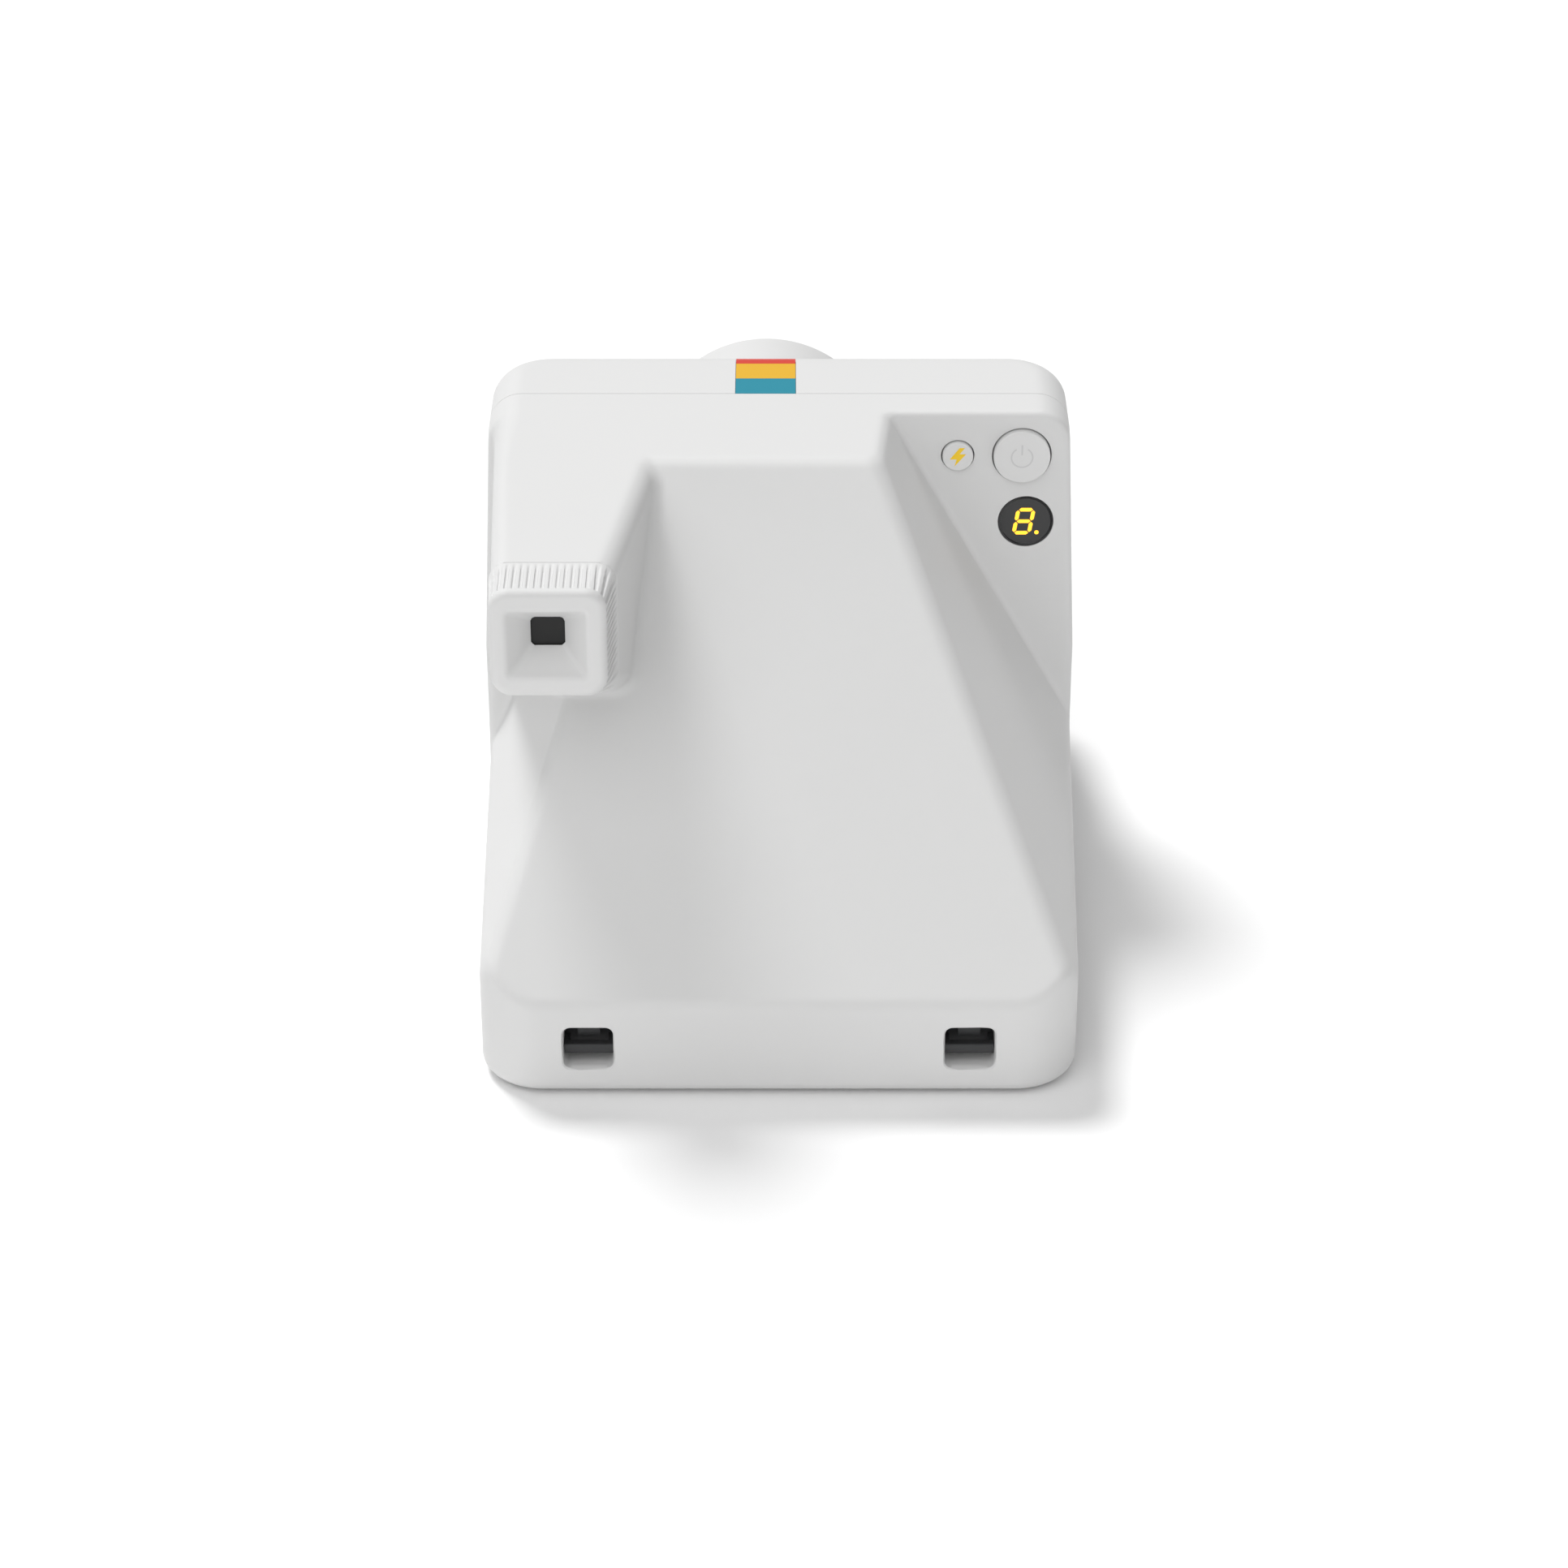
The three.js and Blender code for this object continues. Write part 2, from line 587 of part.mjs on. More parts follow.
function lightChamber() {
  const solid = (m) => hull([
    [-40 + m, -28 + m, 18.4], [45 - m, -28 + m, 18.4], [45 - m, 62 - m, 18.4], [-40 + m, 62 - m, 18.4],
    [-38.6 + m, 62 - m, 22.4], [43.6 - m, 62 - m, 22.4],
    [-15.4 + m, -28 + m, 84 - m], [20.4 - m, -28 + m, 84 - m], [-15.4 + m, 0.4, 84 - m], [20.4 - m, 0.4, 84 - m],
  ]);
  const shadow = box(EVERYWHERE, [-200, 200], [-200, 0]);
  const mirrorSide = hull([[-100, 90, -10], [100, 90, -10], [-100, 90, 200], [100, 90, 200],
    [-100, -117.6, 200], [100, -117.6, 200], [-100, 92.4, -10], [100, 92.4, -10]]);
  const port = prism("y", circle(LENS_X, LENS_Z, 12.8, 32), -30, -26);
  const floor = box([-38.6, 43.6], [-26.6, 60.4], [18, 19.5]);
  return cut(solid(0), solid(1.3), shadow, mirrorSide, port, floor);
}

function filmPack() {
  const x = [LENS_X - PACK.w / 2, LENS_X + PACK.w / 2];
  const cartridge = box(x, [PACK.y0 + 0.2, PACK.y1], [PACK.z0, PACK.z1]);
  const filmFace = box([x[0] + 4, x[1] - 4], [-30, 60], [PACK.z1 - 0.8, PACK.z1 + 1]);
  return cut(cartridge, filmFace);
}

function filmStack() {
  const x = [LENS_X - PACK.w / 2 + 4.3, LENS_X + PACK.w / 2 - 4.3];
  return box(x, [-29.7, 59.7], [PACK.z1 - 0.75, PACK.z1 - 0.1]);
}

function pickArm() {
  const rail = box([49, 50.6], [12, 54], [10.5, 13.5]);
  const claw = box([48, 49.5], [50, 54], [11, 13]);
  return join(rail, claw);
}

function motor() {
  return prism("y", circle(GEAR_X, 22.45, 4.4, 24), -18, 8);
}

function motorWorm() {
  return prism("y", circle(GEAR_X, 22.45, 1.9, 16), -29, -18.2);
}

function usbPort() {
  return cut(box([-56.2, -49], [-8, 0], [8, 11.4]), box([-58, -51], [-7.2, -0.8], [8.7, 10.7]));
}

// ---- the assembly --------------------------------------------------------------------------------
const WHITE = 0xe9e9e8;
const BLACK = 0x151516;
const DARK = 0x2a2b2d;
const STEEL = 0xb9bcc0;
const GLASS = 0x20262b;

function pieces() {
  const list = {
    front_housing: [frontHousing(), WHITE],
    rear_housing: [rearHousing(), WHITE],
    bottom_cover: [bottomCover(), WHITE],
    film_door: [filmDoor(), WHITE],
    hinge_pin_low: [hingePin(-1), STEEL],
    hinge_pin_high: [hingePin(1), STEEL],
    roller_frame: [rollerFrame(), STEEL],
    roller_upper: [roller(ROLLER.high), STEEL],
    roller_lower: [roller(ROLLER.low), STEEL],
    roller_gear_upper: [gear(ROLLER.y, ROLLER.high, 4.05, 12, 1.45), WHITE],
    roller_gear_lower: [gear(ROLLER.y, ROLLER.low, 4.05, 12, 1.45), WHITE],
    idler_gear: [gear(-39, ROLLER.low, 7.7, 24), WHITE],
    drive_gear: [gear(-25.05, ROLLER.low, 6, 18), WHITE],
    drive_motor: [motor(), STEEL],
    motor_worm: [motorWorm(), STEEL],
    film_shield: [filmShield(), BLACK],
    film_pack: [filmPack(), BLACK],
    film_stack: [filmStack(), DARK],
    pick_arm: [pickArm(), STEEL],
    light_chamber: [lightChamber(), BLACK],
    mirror: [mirror(), STEEL],
    lens_barrel: [lensBarrel(), WHITE],
    lens_bezel: [lensBezel(), BLACK],
    front_lens: [frontLens(), GLASS],
    lens_tube: [lensTube(), BLACK],
    shutter_plate: [shutterPlate(), DARK],
    shutter_blade: [shutterBlade(), BLACK],
    focus_carriage: [focusCarriage(), DARK],
    rear_lens: [rearLens(), GLASS],
    flash_window: [frontWindow(FLASH_WINDOW), 0xd8dde0],
    flash_reflector: [flashReflector(), STEEL],
    flash_lamp: [flashLamp(), 0xe8e8e0],
    flash_capacitor: [prism("z", circle(-42, -31.5, 5.8, 24), 33.5, 60), DARK],
    finder_window: [frontWindow(FINDER_WINDOW), GLASS],
    finder_tube: [finderTube(), BLACK],
    eyepiece_cup: [eyepieceCup(), WHITE],
    eyepiece_window: [eyepieceWindow(), GLASS],
    sensor_window: [turnedY(SENSOR.x, SENSOR.z, [[0, -43.8], [SENSOR.r, -43.8], [SENSOR.r, -42], [0, -42]], 20), GLASS],
    shutter_button: [roundKey(SHUTTER, FACE_Y, 1, 1.6, 0.9), 0xc8412f],
    timer_button: [roundKey(TIMER, FACE_Y, 1, 1.2, 0.9), WHITE],
    power_button: [roundKey(POWER, FACET_Y, -1, 1.0, 0.8), WHITE],
    flash_button: [roundKey(FLASH_KEY, FACET_Y, -1, 0.8, 0.8), WHITE],
    display_window: [displayWindow(), BLACK],
    display_module: [box([-50.4, -43.4], [FACET_Y - 6, FACET_Y - 2.5], [DISPLAY.z - 4.5, DISPLAY.z + 4.5]), DARK],
    door_latch: [latchKey(), WHITE],
    accent_inlay: [inlay(0), 0x2f9fb0],
    strap_lug_low: [strapLug(-1), BLACK],
    strap_lug_high: [strapLug(1), BLACK],
    main_board: [box([-52, -37], [-21, -19.4], [31, 60]), 0x2c5c3c],
    battery: [box([-22, 28], [-41, -33], [19, 37]), 0x8f9499],
    usb_port: [usbPort(), STEEL],
  };
  FEET.forEach((spot, i) => {
    list[`foot_${i + 1}`] = [foot(spot), DARK];
  });
  SCREWS.forEach((spot, i) => {
    list[`base_screw_${i + 1}`] = [screw(spot), STEEL];
  });
  return list;
}

function buildAssembly() {
  const group = new THREE.Group();
  for (const [name, [solid, color]] of Object.entries(pieces())) {
    const mesh = new THREE.Mesh(toGeometry(solid), new THREE.MeshStandardMaterial({ color }));
    mesh.name = name;
    group.add(mesh);
  }
  return group;
}

export default buildAssembly();
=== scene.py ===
"""Looks of a box-type instant camera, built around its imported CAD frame."""

import math

import bmesh
import bpy
import numpy as np
import openvdb
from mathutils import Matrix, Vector

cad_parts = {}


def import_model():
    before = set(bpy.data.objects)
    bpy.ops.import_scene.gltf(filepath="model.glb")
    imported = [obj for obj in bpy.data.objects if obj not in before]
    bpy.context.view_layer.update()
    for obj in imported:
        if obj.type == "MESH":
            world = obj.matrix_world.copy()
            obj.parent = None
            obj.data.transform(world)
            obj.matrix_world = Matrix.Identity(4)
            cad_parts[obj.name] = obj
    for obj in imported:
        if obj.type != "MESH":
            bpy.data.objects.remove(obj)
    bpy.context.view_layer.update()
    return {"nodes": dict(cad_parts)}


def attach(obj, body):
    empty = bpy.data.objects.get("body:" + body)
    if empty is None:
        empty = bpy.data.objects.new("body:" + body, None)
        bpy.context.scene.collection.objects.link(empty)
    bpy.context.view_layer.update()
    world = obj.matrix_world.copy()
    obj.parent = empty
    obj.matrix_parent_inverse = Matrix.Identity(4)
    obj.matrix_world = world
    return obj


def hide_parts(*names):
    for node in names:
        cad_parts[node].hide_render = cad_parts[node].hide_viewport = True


MM = 0.001

# ---- dimensions, in millimetres, on the frame's own axes -----------------------------------------
GRID = 0.62                     # cell of the field that the shells are drawn from
CUP_GRID = 0.17                 # cell of the field of the ribbed eyepiece cup
SHELL_WALL = 2.2
TOP = 94.0
UNDERSIDE = 0.8
REAR_Y = 75.0
CHIN_Y = -75.0
FACE_Y = -44.0
SEAM_Y = -23.3
SEAM_HALF = 0.07
FACET_Y = -14.6
HALF_W = 57.0
SHOULDER_Z = 44.0
HEAD_DRAFT = 2.2                # how much each side leans in from the shoulder to the top
REAR_HALF_W = 53.6
REAR_TAPER = 0.0358             # the sides draw in by this much per mm behind REAR_TAPER_Y
REAR_TAPER_Y = -20.0
CHIN_TAPER = 0.155              # and by this much per mm before CHIN_TAPER_Y
CHIN_TAPER_Y = -46.0
RIDGE_Y = 5.5                   # upper edge of the sloping back
STRIP_Z = 19.6                  # its lower edge, above the strap openings
CORNER = 11.0                   # rounding of the upright corners
HIP_EDGE = 2.4                  # rounding between the sloping back and its two flanks
FOOT_EDGE = 2.4
FOOT_Y = -25.0                  # the upright foot of the front housing ends here, below the head
DOOR_Y = -44.3
DOOR_TOP = 30.5
FILM_SLOT = (2.6, 18.4, 92.0, 3.2)
TUBE_END_Y = 58.6
TUBE_LOW_X = (19.5, 30.1)       # finder tube: at the facet, and at its end
TUBE_HIGH_X = (54.4, 50.3)
TUBE_FLOOR_Z = (37.3, 73.7)
TUBE_EDGE = 3.6
FLOOR_LEAN = 0.89               # about the cosine of the tube floor's slope
CUP_Y = 47.2
CUP_GAP = 0.02                  # between the housing and the eyepiece cup
WINDOW_Y = TUBE_END_Y - 5.7
LENS = (2.6, 63.0)
LENS_HOLE = 19.9
EYE = (40.4, 83.6)
POWER = (-45.8, 85.2, 5.35)
FLASH_KEY = (-33.7, 85.2, 2.9)
DISPLAY = (-46.9, 71.3, 5.2)
SHUTTER = (-39.0, 54.0, 6.5)
TIMER = (40.0, 54.0, 4.0)
FLASH_WINDOW = (-35.0, 79.0, 26.0, 15.0)
FINDER_WINDOW = (40.0, 80.0, 13.0, 11.0)
SENSOR = (22.0, 86.5, 2.4)
LATCH = (-35.0, 20.0, 10.0, 6.0)
STRAP_X = 34.2
STRAP_Z = 10.5
STRAP_W = 9.0
STRAP_H = 8.6
HINGE = (-47.0, 3.2)
INSIDE = (0, 0, 30)             # a point inside the mirror housing


def plane_through(a, b, c):
    """Outward normal of the plane through three points, and its distance from the origin."""
    a, b, c, inside = (np.array(p, float) for p in (a, b, c, INSIDE))
    normal = np.cross(b - a, c - a)
    normal /= np.linalg.norm(normal)
    if normal @ (inside - a) > 0:
        normal = -normal
    return normal, normal @ a


# The sloping back of the mirror housing and its two flanks.
SLOPE = plane_through((0, RIDGE_Y, TOP), (10, RIDGE_Y, TOP), (0, REAR_Y, STRIP_Z))
LOW_SIDE = plane_through((-18.6, RIDGE_Y, TOP), (-54.2, REAR_Y, STRIP_Z), (-46.2, FACET_Y, 48))
HIGH_SIDE = plane_through((26, RIDGE_Y, TOP), (54.6, REAR_Y, STRIP_Z), (52.3, FACET_Y, 32.8))


# ---- distance fields -----------------------------------------------------------------------------
def rmax(a, b, radius):
    """Intersection of two fields with a rounded edge."""
    inner = np.minimum(-radius, np.maximum(a, b))
    return inner + np.hypot(np.maximum(a + radius, 0), np.maximum(b + radius, 0))


def rmin(a, b, radius):
    """Union of two fields with a filleted corner."""
    outer = np.maximum(radius, np.minimum(a, b))
    return outer - np.hypot(np.maximum(radius - a, 0), np.maximum(radius - b, 0))


def beyond(plane, x, y, z):
    """Distance outside a plane."""
    (nx, ny, nz), offset = plane
    return nx * x + ny * y + nz * z - offset


def ramp(y, y0, v0, y1, v1):
    """Value that goes from v0 at y0 to v1 at y1, and stays level beyond them."""
    return v0 + (v1 - v0) * np.clip((y - y0) / (y1 - y0), 0, 1)


def side_field(x, y):
    """Distance outside the upright side walls."""
    rear = REAR_TAPER * np.maximum(0, y - REAR_TAPER_Y)
    chin = CHIN_TAPER * np.maximum(0, CHIN_TAPER_Y - y)
    return np.abs(x) - (HALF_W - rear - chin)


def leaning_side(x, y, z):
    """The same walls, leaning in above the shoulder."""
    lean = HEAD_DRAFT / (TOP - SHOULDER_Z)
    return side_field(x, y) + lean * np.maximum(0, z - SHOULDER_Z)


def tube_walls(x, y, z):
    """Distances outside the side walls and the floor of the tapering finder tube."""
    t = (y - FACET_Y) / (TUBE_END_Y - FACET_Y)
    low, high, floor = (a + (b - a) * t for a, b in (TUBE_LOW_X, TUBE_HIGH_X, TUBE_FLOOR_Z))
    return np.maximum(low - x, x - high), (floor - z) * FLOOR_LEAN


def tube_field(x, y, z):
    across, below = tube_walls(x, y, z)
    return rmax(across, np.maximum(below, z - TOP), TUBE_EDGE)


def tube_root(x, y, z):
    """The finder tube with its roof left open, so that the common top plane closes it."""
    across, below = tube_walls(x, y, z)
    return rmax(across, below, TUBE_EDGE)


def body_field(x, y, z):
    """Outer form of both housings: head, mirror housing, finder tube and foot."""
    side = leaning_side(x, y, z)
    hips = rmax(beyond(SLOPE, x, y, z), beyond(LOW_SIDE, x, y, z), HIP_EDGE)
    hips = rmax(hips, beyond(HIGH_SIDE, x, y, z), HIP_EDGE)
    plain = rmin(y - FACET_Y, hips, 1.2)
    ends = rmax(rmax(side, y - REAR_Y, CORNER), FACE_Y - y, CORNER)
    roof = rmax(ends, z - TOP, ramp(y, FACET_Y, 6.0, 12, 3.4))
    edge = ramp(y, 10, 1.3, 68, 1.0)
    with_tube = rmax(roof, rmin(plain, tube_root(x, y, z), 2.2), TUBE_EDGE)
    with_tube = np.maximum(with_tube, y - CUP_Y + CUP_GAP)
    form = np.minimum(rmax(roof, plain, edge), with_tube)
    foot = rmax(np.maximum(side_field(x, y), y - FOOT_Y), np.maximum(FACE_Y - y, z - DOOR_TOP), 0.8)
    return rmax(np.minimum(form, foot), UNDERSIDE - z, FOOT_EDGE)


def door_field(x, y, z):
    """Outer form of the film door, whose chin bows out a little at mid height."""
    side = rmax(side_field(x, y), CHIN_Y + (z - 14) ** 2 * 0.004 - y, 14)
    lid = z - ramp(y, -66, 29.2, -44, DOOR_TOP)
    form = rmax(side, lid, 7.0)
    form = rmax(form, y - DOOR_Y, 0.5)
    return rmax(form, UNDERSIDE - z, FOOT_EDGE)


def perimeter(x, z, half_w, half_h, radius):
    """Distance along a rounded rectangle, from the middle of its top edge."""
    u = np.abs(x) - (half_w - radius)
    v = np.abs(z) - (half_h - radius)
    arc = radius * np.arctan2(np.maximum(u, 0), np.maximum(v, 1e-6))
    upper = np.where(v > 0, np.minimum(np.abs(x), half_w - radius) + arc,
                     half_w - radius + radius * math.pi / 2 + (half_h - radius) - np.abs(z))
    return np.where(z >= 0, upper, 2 * (half_w + half_h - 2 * radius) + math.pi * radius - upper)


RIB_PITCH = 1.28
RIB_DEPTH = 0.34
CUP_MIDDLE = (40.9, 83.0)       # the ribs are spaced round this point
CUP_HALF = (10.4, 10.6)         # half width and half height of the ribbed outline
FUNNEL_HALF = (7.2, 6.6)        # at the mouth
FUNNEL_SLOPE = (0.78, 0.7)      # how much each half size shrinks per mm of depth
SEAT_HALF = (4.5, 4.2)
BORE_HALF = (5.0, 4.7)


def cup_field(x, y, z):
    """Ribbed end of the finder tube, with its funnel, the seat of the window and the bore behind."""
    tube = tube_field(x, y, z)
    along = perimeter(x - CUP_MIDDLE[0], z - CUP_MIDDLE[1], *CUP_HALF, TUBE_EDGE)
    groove = np.cos(2 * math.pi * along / RIB_PITCH)
    fade = np.clip((y - CUP_Y - 0.2) / 3.0, 0, 1) * np.clip((TUBE_END_Y - 1.6 - y) / 0.5, 0, 1)
    ribbed = tube + RIB_DEPTH * fade * np.clip(0.2 + 1.4 * groove, 0, 1)
    form = rmax(ribbed, y - TUBE_END_Y, 1.3)
    form = np.maximum(form, CUP_Y - y)
    depth = TUBE_END_Y - y
    off_x = np.abs(x - EYE[0])
    off_z = np.abs(z - EYE[1])
    funnel = rmax(off_x - FUNNEL_HALF[0] + FUNNEL_SLOPE[0] * depth,
                  off_z - FUNNEL_HALF[1] + FUNNEL_SLOPE[1] * depth, 0.9) * 0.8
    funnel = np.maximum(funnel, WINDOW_Y - y)
    seat = rmax(off_x - SEAT_HALF[0], off_z - SEAT_HALF[1], 0.6)
    seat = np.maximum(seat, np.abs(y - WINDOW_Y + 0.9) - 1.1)
    bore = np.maximum(rmax(off_x - BORE_HALF[0], off_z - BORE_HALF[1], 0.6), y - WINDOW_Y + 2)
    hollow = np.minimum(np.minimum(funnel, seat), bore)
    return rmax(form, -hollow, 0.5)


def field_mesh(name, field, low, high, cell, wall=None):
    """Closed mesh of a field's zero surface; with a wall it is a shell of that thickness."""
    axes = [np.arange(a, b + cell, cell, dtype=np.float32) for a, b in zip(low, high)]
    x, y, z = np.meshgrid(*axes, indexing="ij", sparse=True)
    values = field(x, y, z).astype(np.float32)
    if wall:
        values = np.maximum(values, -(values + wall))
    reach = 4 * cell
    grid = openvdb.FloatGrid(reach)
    grid.copyFromArray(np.clip(values, -reach, reach))
    points, triangles, quads = grid.convertToPolygons(isovalue=0.0, adaptivity=0.0)
    points = points * cell + np.array(low)
    points = settle(points, field, wall)
    mesh = bpy.data.meshes.new(name)
    faces = [tuple(int(i) for i in face[::-1]) for group in (quads, triangles) for face in group]
    mesh.from_pydata((points * MM).tolist(), [], faces)
    mesh.update()
    return new_object(name, mesh)


def settle(points, field, wall, rounds=2, step=0.05):
    """Moves the mesh points onto the exact surface of the field."""
    def value(p):
        d = field(p[:, 0], p[:, 1], p[:, 2])
        return np.maximum(d, -(d + wall)) if wall else d
    for _ in range(rounds):
        here = value(points)
        slope = np.stack([(value(points + np.eye(3)[k] * step) - here) / step for k in range(3)], axis=1)
        length = np.maximum((slope ** 2).sum(axis=1), 0.25)
        points = points - np.clip(here / length, -0.3, 0.3)[:, None] * slope
    return points


# ---- mesh helpers --------------------------------------------------------------------------------
ON_AXIS = 1e-6                  # a profile point nearer to the axis than this is one vertex


def new_object(name, data):
    made = bpy.data.objects.new(name, data)
    bpy.context.scene.collection.objects.link(made)
    return made


def from_bmesh(name, work):
    mesh = bpy.data.meshes.new(name)
    bmesh.ops.recalc_face_normals(work, faces=work.faces[:])
    work.to_mesh(mesh)
    work.free()
    return new_object(name, mesh)


def smooth(piece, angle):
    """Smooth shading, with edges sharper than the angle left crisp."""
    mesh = piece.data
    mesh.polygons.foreach_set("use_smooth", [True] * len(mesh.polygons))
    mesh.set_sharp_from_angle(angle=math.radians(angle))
    return piece


def arc(cu, cv, radius, start, end, steps=8):
    """Points of an arc, angles in degrees."""
    angles = np.radians(np.linspace(start, end, steps + 1))
    return [(cu + radius * math.cos(a), cv + radius * math.sin(a)) for a in angles]


def outline(w, h, radius, steps=8):
    """Rounded rectangle about the origin, counter-clockwise."""
    u = w / 2 - radius
    v = h / 2 - radius
    return (arc(u, v, radius, 0, 90, steps) + arc(-u, v, radius, 90, 180, steps)
            + arc(-u, -v, radius, 180, 270, steps) + arc(u, -v, radius, 270, 360, steps))


def place(axis, u, v, w):
    """A point of a drawing plane (u, v) at height w along an axis, in frame axes."""
    return {"x": (w, u, v), "y": (u, w, v), "z": (u, v, w)}[axis]


def lathe(name, axis, centre, profile, steps=96):
    """Turned piece about a line along an axis; profile points are (radius, along)."""
    work = bmesh.new()
    rings = []
    for radius, along in profile:
        if radius < ON_AXIS:
            rings.append([work.verts.new(Vector(place(axis, *centre, along)) * MM)])
            continue
        ring = []
        for k in range(steps):
            a = 2 * math.pi * k / steps
            u = centre[0] + radius * math.cos(a)
            v = centre[1] + radius * math.sin(a)
            ring.append(work.verts.new(Vector(place(axis, u, v, along)) * MM))
        rings.append(ring)
    closed = profile[0][0] > ON_AXIS
    pairs = list(zip(rings, rings[1:])) + ([(rings[-1], rings[0])] if closed else [])
    for first, second in pairs:
        for k in range(steps):
            n = (k + 1) % steps
            picks = ((first, k), (first, n), (second, n), (second, k))
            corners = [loop[i % len(loop)] for loop, i in picks]
            unique = list(dict.fromkeys(corners))
            if len(unique) > 2:
                work.faces.new(unique)
    return from_bmesh(name, work)


def loft(name, axis, rings):
    """Closed piece through rings of equal point count; each ring is (points, along)."""
    work = bmesh.new()
    made = [[work.verts.new(Vector(place(axis, u, v, along)) * MM) for u, v in points]
            for points, along in rings]
    for first, second in zip(made, made[1:]):
        count = len(first)
        for k in range(count):
            n = (k + 1) % count
            work.faces.new((first[k], first[n], second[n], second[k]))
    work.faces.new(made[0])
    work.faces.new(made[-1])
    return from_bmesh(name, work)


def shifted(points, u, v):
    return [(a + u, b + v) for a, b in points]


def slab(name, axis, points, low, high, edge=0.0, steps=3):
    """Prism of a convex outline, with rounded upper and lower edges."""
    if not edge:
        return loft(name, axis, [(points, low), (points, high)])
    cu = sum(p[0] for p in points) / len(points)
    cv = sum(p[1] for p in points) / len(points)
    span_u = max(abs(p[0] - cu) for p in points)
    span_v = max(abs(p[1] - cv) for p in points)

    def inset(amount):
        fu = (span_u - amount) / span_u
        fv = (span_v - amount) / span_v
        return [(cu + (u - cu) * fu, cv + (v - cv) * fv) for u, v in points]

    rings = []
    for k in range(steps + 1):
        a = math.pi / 2 * k / steps
        rings.append((inset(edge * (1 - math.sin(a))), low + edge * (1 - math.cos(a))))
    rings += [(ring, low + high - along) for ring, along in reversed(rings)]
    return loft(name, axis, rings)


def block(name, x, y, z, edge=0.0):
    """Box between three pairs of limits."""
    points = [(x[0], y[0]), (x[1], y[0]), (x[1], y[1]), (x[0], y[1])]
    return slab(name, "z", points, z[0], z[1], edge)


def merge(name, pieces):
    """One object that holds the meshes of several."""
    work = bmesh.new()
    for piece in pieces:
        work.from_mesh(piece.data)
        bpy.data.objects.remove(piece)
    mesh = bpy.data.meshes.new(name)
    work.to_mesh(mesh)
    work.free()
    return new_object(name, mesh)


def boolean(piece, tool, operation="DIFFERENCE"):
    """Applies a boolean at once and removes the tool."""
    step = piece.modifiers.new("cut", "BOOLEAN")
    step.object = tool
    step.operation = operation
    step.solver = "MANIFOLD"
    graph = bpy.context.evaluated_depsgraph_get()
    result = bpy.data.meshes.new_from_object(piece.evaluated_get(graph), depsgraph=graph)
    piece.modifiers.clear()
    piece.data = result
    bpy.data.objects.remove(tool)
    return piece


def cut_all(piece, tools):
    for tool in tools:
        boolean(piece, tool)
    return piece


# ---- materials -----------------------------------------------------------------------------------
def new_material(name, color, roughness, metallic=0.0):
    made = bpy.data.materials.new(name)
    made.use_nodes = True
    shader = made.node_tree.nodes["Principled BSDF"]
    shader.inputs["Base Color"].default_value = (*color, 1)
    shader.inputs["Roughness"].default_value = roughness
    shader.inputs["Metallic"].default_value = metallic
    return made, shader


def grain(material, shader, size, height, mottling=0.0, stretch=(1, 1, 1)):
    """Fine relief, size and height in millimetres, and a slight change of shade over a larger scale."""
    nodes = material.node_tree.nodes
    links = material.node_tree.links
    coords = nodes.new("ShaderNodeTexCoord")
    scale = nodes.new("ShaderNodeMapping")
    scale.inputs["Scale"].default_value = stretch
    fine = nodes.new("ShaderNodeTexNoise")
    fine.inputs["Scale"].default_value = 1 / (size * MM)
    fine.inputs["Detail"].default_value = 3
    bump = nodes.new("ShaderNodeBump")
    bump.inputs["Distance"].default_value = height * MM
    bump.inputs["Strength"].default_value = 1.0
    links.new(coords.outputs["Object"], scale.inputs["Vector"])
    links.new(scale.outputs["Vector"], fine.inputs["Vector"])
    links.new(fine.outputs["Fac"], bump.inputs["Height"])
    links.new(bump.outputs["Normal"], shader.inputs["Normal"])
    if mottling:
        broad = nodes.new("ShaderNodeTexNoise")
        broad.inputs["Scale"].default_value = 1 / (size * 60 * MM)
        mix = nodes.new("ShaderNodeMix")
        mix.data_type = "RGBA"
        base = shader.inputs["Base Color"].default_value[:]
        mix.inputs["A"].default_value = [c * (1 - mottling) for c in base[:3]] + [1]
        mix.inputs["B"].default_value = base
        links.new(coords.outputs["Object"], broad.inputs["Vector"])
        links.new(broad.outputs["Fac"], mix.inputs["Factor"])
        links.new(mix.outputs["Result"], shader.inputs["Base Color"])
    return material


def plastic(name, color, roughness, size=0.35, height=0.004, mottling=0.012):
    made, shader = new_material(name, color, roughness)
    return grain(made, shader, size, height, mottling)


def metal(name, color, roughness, stretch=(1, 1, 1)):
    made, shader = new_material(name, color, roughness, 1.0)
    return grain(made, shader, 0.12, 0.0015, 0.05, stretch)


def clear(name, color, roughness=0.02, ior=1.5):
    made, shader = new_material(name, color, roughness)
    shader.inputs["Transmission Weight"].default_value = 1.0
    shader.inputs["IOR"].default_value = ior
    return grain(made, shader, 6.0, 0.0001)


def glowing(name, color, strength):
    made, shader = new_material(name, color, 0.5)
    shader.inputs["Emission Color"].default_value = (*color, 1)
    shader.inputs["Emission Strength"].default_value = strength
    return grain(made, shader, 0.3, 0.001)


